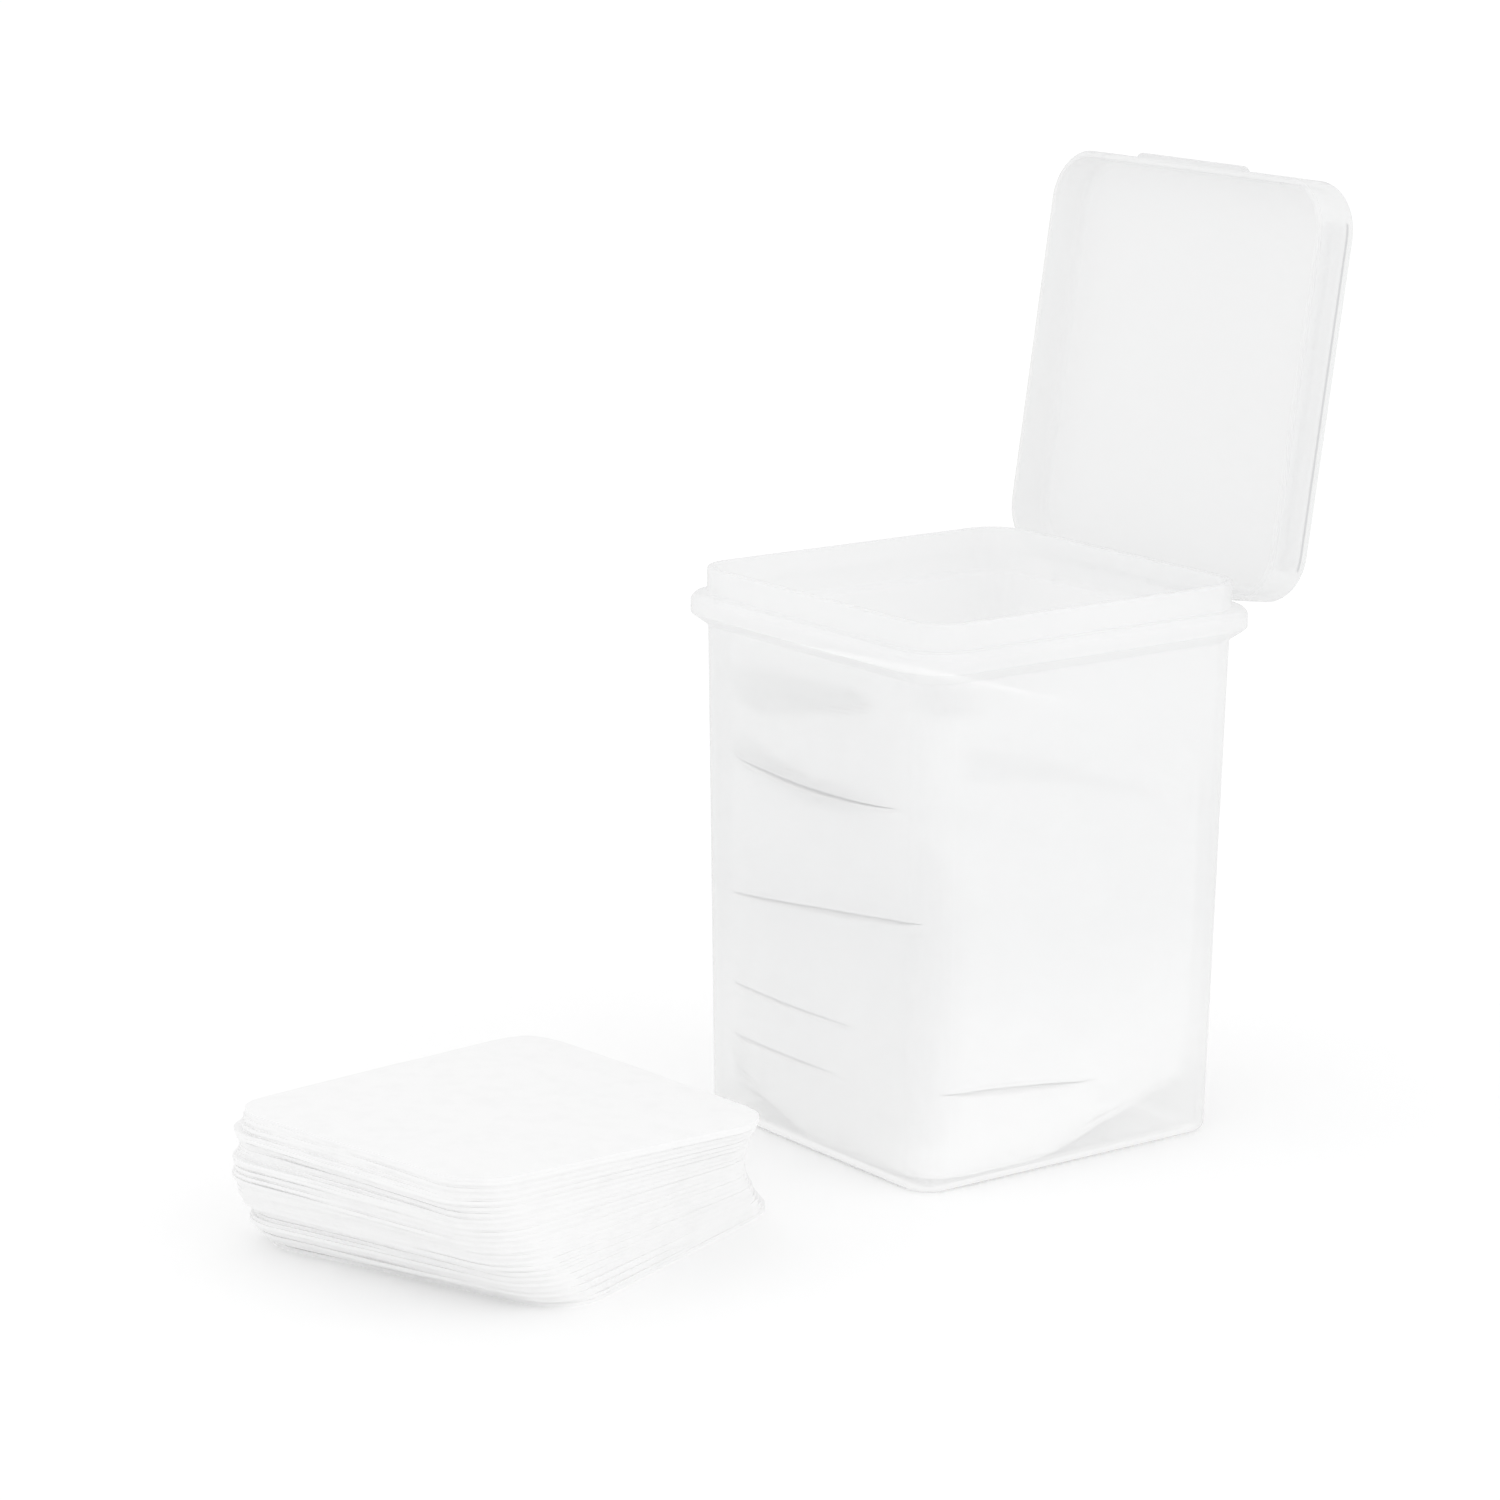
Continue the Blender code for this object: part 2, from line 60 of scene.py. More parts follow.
# The target lies distance along the view and off the picture's middle by its pixels over the focal length.
def makeCamera(c):
    a, e, r = (math.radians(c[k]) for k in ("azimuth", "elevation", "roll"))
    back = Vector((math.sin(a) * math.cos(e), -math.cos(a) * math.cos(e), math.sin(e)))
    level = Vector((math.cos(a), math.sin(a), 0))
    upright = back.cross(level)
    right = math.cos(r) * level + math.sin(r) * upright
    up = math.cos(r) * upright - math.sin(r) * level
    middle = c["picture"] / 2
    offRight = (c["seenAt"][0] - middle) * c["distance"] / c["focalPixels"]
    offUp = (middle - c["seenAt"][1]) * c["distance"] / c["focalPixels"]
    place = Vector(c["target"]) + back * c["distance"] - right * offRight - up * offUp
    data = bpy.data.cameras.new("photoCamera")
    data.sensor_width = c["sensor"]
    data.lens = c["focalPixels"] / c["picture"] * c["sensor"]
    data.clip_start, data.clip_end = c["clip"]
    made = bpy.data.objects.new("photoCamera", data)
    made.matrix_world = Matrix.Translation(place * mm) @ Matrix((right, up, back)).transposed().to_4x4()
    scene.collection.objects.link(made)
    scene.camera = made


makeCamera(camera)
print("camera set")


# A node group with its sockets, and the nodes that give its inputs and take its outputs.
def newGroup(name, inputs, outputs):
    group = bpy.data.node_groups.new(name, "ShaderNodeTree")
    for label, kind, value in inputs:
        socket = group.interface.new_socket(label, in_out="INPUT", socket_type=kind)
        if value is not None:
            socket.default_value = value
    for label, kind in outputs:
        group.interface.new_socket(label, in_out="OUTPUT", socket_type=kind)
    return group, group.nodes.new("NodeGroupInput"), group.nodes.new("NodeGroupOutput")


# A node with its settings, and its inputs set or joined: a socket is joined, anything else is a value.
def addNode(tree, kind, settings=None, **inputs):
    node = tree.nodes.new(kind)
    for key, value in (settings or {}).items():
        setattr(node, key, value)
    for key, value in inputs.items():
        name = key.replace("_", " ")
        numbered = name.startswith("in") and name[2:].isdigit()
        socket = node.inputs[int(name[2:]) if numbered else name]
        if isinstance(value, bpy.types.NodeSocket):
            tree.links.new(value, socket)
        else:
            socket.default_value = value
    return node


# The result of one operation on two numbers, each a socket or a value.
def addMath(tree, operation, first, second=0.0, clamp=False):
    node = addNode(tree, "ShaderNodeMath", dict(operation=operation, use_clamp=clamp), in0=first, in1=second)
    return node.outputs[0]


# From the first colour at share 0 to the second at share 1: a socket is joined, a colour is set.
def mixColours(tree, share, first, second):
    node = addNode(tree, "ShaderNodeMix", dict(data_type="RGBA"), Factor=share)
    for name, colour in (("A", first), ("B", second)):
        if isinstance(colour, bpy.types.NodeSocket):
            tree.links.new(colour, node.inputs[name])
        else:
            node.inputs[name].default_value = (*colour, 1)
    return node.outputs["Result"]


# The value that addGrade has stored for each vertex.
def readGrade(tree, name):
    return addNode(tree, "ShaderNodeAttribute", dict(attribute_name=name)).outputs["Fac"]


# Height = fine noise plus a share of finer noise; Patches = broad soft noise from 0 to 1.
def makeGrainGroup():
    group, given, result = newGroup(
        "surfaceGrain",
        [("Vector", "NodeSocketVector", None), ("Scale", "NodeSocketFloat", 900.0),
         ("Patch Scale", "NodeSocketFloat", 40.0), ("Fineness", "NodeSocketFloat", 0.5)],
        [("Height", "NodeSocketFloat"), ("Patches", "NodeSocketFloat")],
    )
    fine = addNode(group, "ShaderNodeTexNoise", Vector=given.outputs["Vector"], Scale=given.outputs["Scale"],
                   Detail=3.0, Roughness=given.outputs["Fineness"])
    broad = addNode(group, "ShaderNodeTexNoise", Vector=given.outputs["Vector"],
                    Scale=given.outputs["Patch Scale"], Detail=2.0, Roughness=0.45, Distortion=0.6)
    spread = addNode(group, "ShaderNodeMapRange", Value=broad.outputs["Fac"], From_Min=0.1, From_Max=0.9)
    group.links.new(fine.outputs["Fac"], result.inputs["Height"])
    group.links.new(spread.outputs[0], result.inputs["Patches"])
    return group


# Roughness = Low where the patches are 0, High where they are 1, plus Worn times the wear mask.
def makeSheenGroup():
    group, given, result = newGroup(
        "handledSheen",
        [("Patches", "NodeSocketFloat", 0.5), ("Wear", "NodeSocketFloat", 0.0),
         ("Low", "NodeSocketFloat", 0.3), ("High", "NodeSocketFloat", 0.4), ("Worn", "NodeSocketFloat", 0.1)],
        [("Roughness", "NodeSocketFloat")],
    )
    between = addNode(group, "ShaderNodeMapRange", Value=given.outputs["Patches"],
                      To_Min=given.outputs["Low"], To_Max=given.outputs["High"])
    worn = addMath(group, "MULTIPLY", given.outputs["Wear"], given.outputs["Worn"])
    total = addMath(group, "ADD", between.outputs[0], worn, clamp=True)
    group.links.new(total, result.inputs["Roughness"])
    return group


# Mask = 1 within Reach of the level At along Z, fading, and broken up by scratchy noise.
def makeWearGroup():
    group, given, result = newGroup(
        "edgeWear",
        [("Vector", "NodeSocketVector", None), ("At", "NodeSocketFloat", 0.0),
         ("Reach", "NodeSocketFloat", 0.004)],
        [("Mask", "NodeSocketFloat")],
    )
    split = addNode(group, "ShaderNodeSeparateXYZ", Vector=given.outputs["Vector"])
    off = addMath(group, "ABSOLUTE", addMath(group, "SUBTRACT", split.outputs["Z"], given.outputs["At"]))
    near = addMath(group, "SUBTRACT", 1.0, addMath(group, "DIVIDE", off, given.outputs["Reach"]), clamp=True)
    scratch = addNode(group, "ShaderNodeTexNoise", Vector=given.outputs["Vector"], Scale=700.0, Detail=5.0,
                      Roughness=0.7, Distortion=1.2)
    broken = addNode(group, "ShaderNodeMapRange", Value=scratch.outputs["Fac"], From_Min=0.45, From_Max=0.65)
    group.links.new(addMath(group, "MULTIPLY", near, broken.outputs[0]), result.inputs["Mask"])
    return group


fibreLay = dict(turns=(12.0, 71.0, 133.0), stretch=(1.0, 0.16, 1.0))


# Fibres = the brightest of three stretched noises laid across each other; Clumps = soft cloudy noise.
def makeFibreGroup(c):
    group, given, result = newGroup(
        "nonwovenFibres",
        [("Vector", "NodeSocketVector", None), ("Scale", "NodeSocketFloat", 500.0),
         ("Clump Scale", "NodeSocketFloat", 120.0)],
        [("Fibres", "NodeSocketFloat"), ("Clumps", "NodeSocketFloat")],
    )
    strongest = None
    for turn in c["turns"]:
        laid = addNode(group, "ShaderNodeMapping", Vector=given.outputs["Vector"],
                       Rotation=(0.0, 0.0, math.radians(turn)), Scale=c["stretch"])
        strand = addNode(group, "ShaderNodeTexNoise", Vector=laid.outputs[0], Scale=given.outputs["Scale"],
                         Detail=2.0, Roughness=0.6, Distortion=0.9)
        fac = strand.outputs["Fac"]
        strongest = fac if strongest is None else addMath(group, "MAXIMUM", strongest, fac)
    clump = addNode(group, "ShaderNodeTexNoise", Vector=given.outputs["Vector"],
                    Scale=given.outputs["Clump Scale"], Detail=3.0, Roughness=0.55)
    group.links.new(strongest, result.inputs["Fibres"])
    group.links.new(clump.outputs["Fac"], result.inputs["Clumps"])
    return group


grainGroup = makeGrainGroup()
sheenGroup = makeSheenGroup()
wearGroup = makeWearGroup()
fibreGroup = makeFibreGroup(fibreLay)


def newMaterial(name):
    material = bpy.data.materials.new(name)
    material.use_nodes = True
    return material, material.node_tree, material.node_tree.nodes["Principled BSDF"]


def useGroup(tree, group, **inputs):
    return addNode(tree, "ShaderNodeGroup", dict(node_tree=group), **inputs)


# Frosted polypropylene: part milky, part see-through, with a fine spark-eroded grain. Where it is seen
# at a slant, by facing to a power, more plastic lies in the way, and it is denser and greyer. Where an
# attribute holds painted shade, it is painted denser and greyer too. It is painted paler towards the foot,
# up to footReach: painted light against the shade near the floor.
def frostedPlastic(name, look):
    material, tree, shader = newMaterial(name)
    place = addNode(tree, "ShaderNodeTexCoord").outputs["Object"]
    grain = useGroup(tree, grainGroup, Vector=place, Scale=look["grainScale"], Patch_Scale=look["patchScale"])
    wear = useGroup(tree, wearGroup, Vector=place, At=look["wearAt"] * mm, Reach=look["wearReach"] * mm)
    sheen = useGroup(tree, sheenGroup, Patches=grain.outputs["Patches"], Wear=wear.outputs["Mask"],
                     Low=look["roughness"][0], High=look["roughness"][1], Worn=look["worn"])
    tint = mixColours(tree, grain.outputs["Patches"], look["colour"], look["colourPatch"])
    level = addNode(tree, "ShaderNodeSeparateXYZ", Vector=place).outputs["Z"]
    # Painted light: paler towards the foot, up to footReach, against the shade near the floor.
    low = addNode(tree, "ShaderNodeMapRange", Value=level, From_Min=0.0, From_Max=look["footReach"] * mm,
                  To_Min=1.0, To_Max=0.0).outputs[0]
    footLitTint = mixColours(tree, low, tint, look["footColour"])
    facing = addNode(tree, "ShaderNodeLayerWeight", Blend=0.5).outputs["Facing"]
    grazing = addMath(tree, "POWER", facing, look["edgePower"])
    # Painted shade: an attribute marks darker, denser bands on the lid's right and front outside.
    thick = readGrade(tree, "shadeBands")
    slant = addMath(tree, "MULTIPLY", grazing, look["edgeShare"])
    deep = mixColours(tree, addMath(tree, "MAXIMUM", slant, thick), footLitTint, look["edgeColour"])
    tree.links.new(deep, shader.inputs["Base Color"])
    dense = addNode(tree, "ShaderNodeMapRange", Value=grazing, To_Min=look["alpha"], To_Max=look["edgeAlpha"])
    more = addMath(tree, "MULTIPLY", thick, look["shadeBandAlpha"])
    tree.links.new(addMath(tree, "ADD", dense.outputs[0], more, clamp=True), shader.inputs["Alpha"])
    bump = addNode(tree, "ShaderNodeBump", Height=grain.outputs["Height"], Strength=look["bump"],
                   Distance=look["grainDepth"] * mm)
    tree.links.new(sheen.outputs[0], shader.inputs["Roughness"])
    tree.links.new(bump.outputs[0], shader.inputs["Normal"])
    shader.inputs["IOR"].default_value = look["ior"]
    shader.inputs["Specular IOR Level"].default_value = look["specular"]
    return material


# Corners of the quads of a grid that is stored row by row; with wrap the last column meets the first.
def gridQuads(rows, columns, first=0, wrap=False):
    r = np.arange(rows - 1)[:, None]
    c = np.arange(columns if wrap else columns - 1)[None, :]
    after = (c + 1) % columns
    quads = [r * columns + c, r * columns + after, (r + 1) * columns + after, (r + 1) * columns + c]
    return first + np.stack(np.broadcast_arrays(*quads), axis=-1).reshape(-1, 4)


# Stores a value for each vertex of a piece, which its material reads.
def addGrade(piece, name, values):
    grade = piece.data.attributes.new(name, "FLOAT", "POINT")
    grade.data.foreach_set("value", np.asarray(values, np.float32).ravel())


# A smooth piece from points in millimetres. Edges that turn by more than sharp degrees stay hard.
def addPiece(name, points, faces, material, sharp=40.0):
    mesh = bpy.data.meshes.new(name)
    mesh.from_pydata((points * mm).tolist(), [], faces)
    mesh.validate()
    mesh.shade_smooth()
    mesh.set_sharp_from_angle(angle=math.radians(sharp))
    mesh.materials.append(material)
    piece = bpy.data.objects.new(name, mesh)
    scene.collection.objects.link(piece)
    return piece


# Columns of a rounded rectangle, anticlockwise from above: x = a halfX + b corner + c and
# y = d halfY + e corner + f. Stops are fixed places along the straight sides.
def ringColumns(stopsX, stopsY, cornerSteps):
    columns = []
    for quarter, (sideX, sideY) in enumerate(((1, 1), (-1, 1), (-1, -1), (1, -1))):
        stops = (stopsY if quarter % 2 == 0 else stopsX) * (1, -1, -1, 1)[quarter]
        zero, one = np.zeros(len(stops)), np.ones(len(stops))
        if quarter % 2 == 0:
            columns.append(np.stack([sideX * one, zero, zero, zero, zero, stops]))
        else:
            columns.append(np.stack([zero, zero, stops, sideY * one, zero, zero]))
        angle = np.pi / 2 * (quarter + np.linspace(0, 1, cornerSteps + 1))
        zero, one = np.zeros(len(angle)), np.ones(len(angle))
        columns.append(np.stack([sideX * one, np.cos(angle) - sideX, zero,
                                 sideY * one, np.sin(angle) - sideY, zero]))
    return np.concatenate(columns, axis=1)


# Each row is half width, half depth, corner radius and height; each column as ringColumns gives it.
def loftPoints(rows, columns):
    halfX, halfY, corner, height = (rows[:, k, None] for k in range(4))
    a, b, c, d, e, f = columns
    x = a * halfX + b * corner + c
    y = d * halfY + e * corner + f
    return np.stack([x, y, height + 0 * x], axis=2)


# Each corner of the profile is cut back by its softness, a row's fifth value, and bridged by a parabola.
def softened(rows, steps=4):
    made = [rows[0][:4]]
    for before, here, after in zip(rows, rows[1:], rows[2:]):
        p, q, r = (np.array(v[:4], float) for v in (before, here, after))
        soft = here[4] if len(here) > 4 else 0.0
        if soft == 0.0:
            made.append(q)
            continue
        lengths = [np.linalg.norm(v[[0, 3]] - q[[0, 3]]) for v in (p, r)]
        into = q + (p - q) * min(0.5, soft / lengths[0])
        out = q + (r - q) * min(0.5, soft / lengths[1])
        for t in np.linspace(0, 1, steps + 1):
            made.append((1 - t) ** 2 * into + 2 * t * (1 - t) * q + t ** 2 * out)
    made.append(rows[-1][:4])
    return np.array([np.array(row, float) for row in made])


# Rings drawn in towards the middle of a ring by the given shares, each at its own height.
def drawnIn(ring, shares, heights):
    shares, heights = np.array(shares)[:, None], np.array(heights)[:, None]
    x, y = (ring[None, :, k] for k in (0, 1))
    return np.stack([x * shares, y * shares, heights + 0 * x], axis=2)


# A closed skin: the rings joined by quads, and a fan to one point at the first and the last of them.
def closedLoft(points, startHeight, endHeight):
    rows, columns = points.shape[:2]
    middles = np.array([[0, 0, startHeight], [0, 0, endHeight]])
    middles[:, :2] = points[0, :, :2].mean(axis=0)
    vertices = np.concatenate([points.reshape(-1, 3), middles])
    here = np.arange(columns)
    after = (here + 1) % columns
    last = (rows - 1) * columns
    start = np.stack([np.full(columns, rows * columns), after, here], axis=1)
    end = np.stack([np.full(columns, rows * columns + 1), last + here, last + after], axis=1)
    return vertices, gridQuads(rows, columns, wrap=True).tolist() + start.tolist() + end.tolist()


# A closed slab between two grids, with a rim whose middle line stands out by push.
def closedSlab(top, bottom, push):
    rows, columns = top.shape[:2]
    count = rows * columns
    index = np.arange(count).reshape(rows, columns)
    border = np.concatenate([index[0, :-1], index[:-1, -1], index[-1, :0:-1], index[:0:-1, 0]])
    flatTop, flatBottom = top.reshape(-1, 3), bottom.reshape(-1, 3)
    rim = (flatTop[border] + flatBottom[border]) / 2
    outward = rim - np.roll(rim, 1, axis=0)
    outward = outward / np.linalg.norm(outward, axis=1)[:, None]
    outward = outward + np.roll(outward, -1, axis=0)
    across = np.stack([outward[:, 1], -outward[:, 0], 0 * outward[:, 0]], axis=1)
    across = across / np.linalg.norm(across, axis=1)[:, None]
    rim = rim + across * np.asarray(push).reshape(-1, 1)
    vertices = np.concatenate([flatTop, flatBottom, rim])
    quads = gridQuads(rows, columns)
    here = np.arange(len(border))
    after = (here + 1) % len(border)
    low = np.stack([count + border[here], count + border[after], 2 * count + after, 2 * count + here], axis=1)
    high = np.stack([2 * count + here, 2 * count + after, border[after], border[here]], axis=1)
    faces = np.concatenate([quads, count + quads[:, ::-1], low, high])
    return vertices, faces.tolist(), border


container = dict(
    footHalf=(26.0, 27.5), draft=0.815, corner=4.7, footFillet=1.3, footRecess=0.35,
    wallTop=73.1, bow=0.14,
    beadReach=2.55, beadSlope=1.8, beadNose=2.1, beadShoulder=0.75,
    neckStep=(0.75, 0.5), neckCorner=6.3, neckHeight=3.75, neckWall=1.05, rimRound=0.35,
    wall=1.1, floor=1.2, innerCorner=3.6, innerFillet=1.0, ledgeRise=1.5, ledgeSlope=0.5,
    pocketHalf=17.25, pocketBottom=75.2, pocketBack=30.62,
    levels=(5, 11, 18, 26, 34, 42, 50, 58, 65, 70),  # heights of the walls' rows of faces
)
bodyLook = dict(
    colour=(0.89, 0.892, 0.894), colourPatch=(0.9, 0.902, 0.904),
    # Painted light: the next colour paints the plastic paler towards the foot, against the shade near the
    # floor.
    footColour=(0.97, 0.97, 0.97), footReach=34.0, edgeColour=(0.6, 0.605, 0.61),
    # Painted shade: the last share on the next line makes the painted shade bands denser.
    alpha=0.35, edgePower=4.0, edgeShare=0.5, edgeAlpha=0.6, shadeBandAlpha=0.3,
    ior=1.47, specular=0.25, roughness=(0.3, 0.38), worn=0.04, wearAt=1.0, wearReach=5.0,
    grainScale=2600.0, patchScale=35.0, grainDepth=0.02, bump=0.35,
)
beadTop = container["wallTop"] + container["beadSlope"] + container["beadNose"] + container["beadShoulder"]
rimTop = beadTop + container["neckHeight"]
ledgeZ = container["wallTop"] + container["ledgeRise"]


# Half width and half depth of the walls at a height: those of the foot, plus the height times tan(draft).
def wallHalf(z, inward=0.0):
    lean = math.tan(math.radians(container["draft"])) * z
    return container["footHalf"][0] + lean - inward, container["footHalf"][1] + lean - inward


mouthHalf = wallHalf(container["wallTop"])
neckHalf = tuple(mouthHalf[k] + container["neckStep"][k] for k in (0, 1))
noseHalf = tuple(h + container["beadReach"] for h in mouthHalf)


def grown(half, by):
    return half[0] + by, half[1] + by


# A quarter round from an upright side to a flat one: inset = radius (1 - cos), height by sin.
def filletRows(half, corner, radius, zSide, zFlat, steps=6, bulge=1.0):
    rows = []
    for angle in np.linspace(0, math.pi / 2, steps + 1):
        inset = radius * (1 - math.cos(angle))
        rows.append((*grown(half, -inset), corner - inset * bulge, zSide + (zFlat - zSide) * math.sin(angle)))
    return rows


# Up the outside from the foot, over bead, neck and rim, and down the inside to the floor.
def containerRows(c):
    corner, fillet, recess = c["corner"], c["footFillet"], c["footRecess"]
    foot = wallHalf(0)
    rows = [(*grown(foot, -fillet - 3.0), 1.2, recess), (*grown(foot, -fillet - 2.4), 1.4, recess),
            (*grown(foot, -fillet - 1.9), 1.6, 0.0)]
    rows += filletRows(wallHalf(fillet), corner, fillet, fillet, 0.0)[::-1]
    rows += [(*wallHalf(z), corner, z) for z in c["levels"]]
    noseLow = c["wallTop"] + c["beadSlope"]
    noseHigh = noseLow + c["beadNose"]
    noseCorner = corner + c["beadReach"]
    pocket = c["pocketBottom"]
    rows += [
        (*mouthHalf, corner, c["wallTop"], 0.45),
        (*noseHalf, noseCorner, noseLow, 0.3),
        (*noseHalf, noseCorner, pocket + 0.02), (*noseHalf, noseCorner, pocket + 0.1),
        (*noseHalf, noseCorner, noseHigh, 0.4),
        (*grown(noseHalf, -c["beadShoulder"]), noseCorner - c["beadShoulder"], beadTop, 0.3),
        (*neckHalf, c["neckCorner"], beadTop, 0.3),
        (*neckHalf, c["neckCorner"], rimTop, c["rimRound"]),
    ]
    inner = grown(neckHalf, -c["neckWall"])
    innerCorner = c["neckCorner"] - c["neckWall"]
    rows += [
        (*inner, innerCorner, rimTop, c["rimRound"]),
        (*inner, innerCorner, ledgeZ + c["ledgeSlope"], 0.35),
        (*wallHalf(ledgeZ, c["wall"]), c["innerCorner"], ledgeZ, 0.35),
    ]
    rows += [(*wallHalf(z, c["wall"]), c["innerCorner"], z) for z in (73, *c["levels"][::-1])]
    base = wallHalf(c["floor"] + c["innerFillet"], c["wall"])
    rows += filletRows(base, c["innerCorner"], c["innerFillet"], c["floor"] + c["innerFillet"], c["floor"])
    return softened(rows)


# The walls draw in by a half sine up their height times a parabola across their width.
def bowWalls(points, c, straight=21.0):
    x, y, z = points[..., 0], points[..., 1], points[..., 2]
    up = np.sin(np.pi * np.clip(z / c["wallTop"], 0, 1))
    onSide = (np.abs(y) < straight) & (np.abs(x) > 24)
    onFront = (np.abs(x) < straight) & (np.abs(y) > 24)
    points[..., 0] -= np.where(onSide, np.sign(x) * c["bow"] * up * (1 - (y / straight) ** 2), 0)
    points[..., 1] -= np.where(onFront, np.sign(y) * c["bow"] * up * (1 - (x / straight) ** 2), 0)


# The bead's back is cut off at pocketBack over the hinge's width, where the strip stands.
def makeContainer(c, material):
    edge = c["pocketHalf"]
    stopsX = np.array([-20, -edge - 0.12, -edge, -13, -8.5, -4, 0, 4, 8.5, 13, edge, edge + 0.12, 20])
    stopsY = np.array([-20.5, -16, -12, -8, -4, 0, 4, 8, 12, 16, 20.5])
    points = loftPoints(containerRows(c), ringColumns(stopsX, stopsY, 12))
    bowWalls(points, c)
    x, y, z = (points[..., k] for k in range(3))
    rowNumber = np.arange(len(points))[:, None]
    rimRow = int(z.max(axis=1).argmax())
    inPocket = (np.abs(x) <= edge + 0.01) & (z > c["pocketBottom"] + 0.05) & (rowNumber < rimRow) & (y > 28)
    points[..., 1] = np.where(inPocket, np.minimum(y, c["pocketBack"]), y)
    low = drawnIn(points[0], (0.2, 0.5, 0.8), (c["footRecess"],) * 3)
    high = drawnIn(points[-1], (0.8, 0.5, 0.2), (c["floor"],) * 3)
    vertices, faces = closedLoft(np.concatenate([low, points, high]), c["footRecess"], c["floor"])
    piece = addPiece("containerMoulding", vertices, faces, material)
    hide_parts("container_body")
    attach(piece, "container")
    return piece


makeContainer(container, frostedPlastic("frostedBody", bodyLook))
print("container made")


lid = dict(
    clearance=0.4, lift=0.3, wall=0.9, depth=6.85, fillet=0.8, innerFillet=1.2, bulge=0.6,
    edge=0.5, edgeIn=0.22, edgeOut=0.05, edgeUp=0.6, open=98.4, hingeBack=0.15, hingeDrop=0.52, crown=0.2,
    thumbHalf=11.5, thumbReach=0.7, thumbMiddle=0.78, thumbThick=1.36,
    snapHalf=19.0, snapReach=0.24, snapMiddle=1.1, snapThick=0.9,
    # Painted shade: how much darker and denser the skirt, a ring and a line under the top edge are painted.
    skirtShade=0.25, skirtTop=0.6, skirtFade=0.5, ringShade=0.25, ringLevel=2.0, ringWidth=0.7,
    lineShade=3.0, lineWidth=0.16, lineDepth=1.6, lineIn=0.25,
    skirtLevels=(2.3, 3.2, 4.5), lineLevels=(-0.3, -0.15, 0, 0.15, 0.3),  # extra rows of faces
)
# Painted shade: the lid is the body's own plastic, painted a darker copy.
shadedLidLook = dict(
    bodyLook, colour=(0.865, 0.867, 0.869), colourPatch=(0.875, 0.877, 0.879), roughness=(0.26, 0.33),
    wearAt=137.0, wearReach=4.0, patchScale=30.0, bump=0.25,
)
lidInner = grown(neckHalf, lid["clearance"])
lidOuter = grown(lidInner, lid["wall"])
lidRim = beadTop + lid["lift"]
lidTop = lidRim + lid["depth"]
lidCorner = container["neckCorner"] + lid["clearance"] + lid["wall"]
hingeY = lidOuter[1] + lid["hingeBack"]
hingeZ = lidRim - lid["hingeDrop"]


# Turns points of the closed lid about the hinge axis to where the photograph shows it.
def openedLid(points, degrees):
    angle = math.radians(-degrees)
    y, z = points[..., 1] - hingeY, points[..., 2] - hingeZ
    turned = points.copy()
    turned[..., 1] = y * math.cos(angle) - z * math.sin(angle) + hingeY
    turned[..., 2] = y * math.sin(angle) + z * math.cos(angle) + hingeZ
    return turned


# From the ceiling out and down the inside, round the rim, and up the outside to the top.
def lidRows(c):
    inCorner = lidCorner - c["wall"]
    ceiling, inFillet = lidTop - c["wall"], c["innerFillet"]
    rows = filletRows(lidInner, inCorner, inFillet, ceiling - inFillet, ceiling, 7, c["bulge"])[::-1]
    snapShares = (1.4, 1, 0.8, 0.4, 0, -0.4, -0.8, -1)
    snap = [lidRim + c["snapMiddle"] + c["snapThick"] / 2 * s for s in snapShares]
    rows += [(*lidInner, inCorner, z) for z in snap]
    rows += [
        (*lidInner, inCorner, lidRim, 0.2),
        (*grown(lidOuter, -c["edgeIn"]), lidCorner - c["edgeIn"], lidRim, 0.15),
        (*grown(lidOuter, -c["edgeOut"]), lidCorner - c["edgeOut"], lidRim + c["edge"] * c["edgeUp"]),
    ]
    thumbShares = (-0.7, -0.4, 0, 0.4, 0.7, 0.9, 1, 1.4)
    thumb = [lidRim + c["thumbMiddle"] + c["thumbThick"] / 2 * s for s in thumbShares]
    rows += [(*lidOuter, lidCorner, z) for z in thumb]
    rows += [(*lidOuter, lidCorner, lidRim + z) for z in c["skirtLevels"]]
    rows += [(*lidOuter, lidCorner, lidTop - c["lineDepth"] + z) for z in c["lineLevels"]]
    rows += filletRows(lidOuter, lidCorner, c["fillet"], lidTop - c["fillet"], lidTop, 9, c["bulge"])
    return softened(rows)


# How far a rib stands out: an ellipse over its thickness times a rounded end over its length.
def ribReach(along, height, half, middle, thick, reach, endRound=0.5):
    over = np.sqrt(np.clip(1 - (2 * (height - middle) / thick) ** 2, 0, 1))
    ends = np.sqrt(np.clip(1 - (np.clip(np.abs(along) - half + endRound, 0, endRound) / endRound) ** 2, 0, 1))
    return reach * over * ends
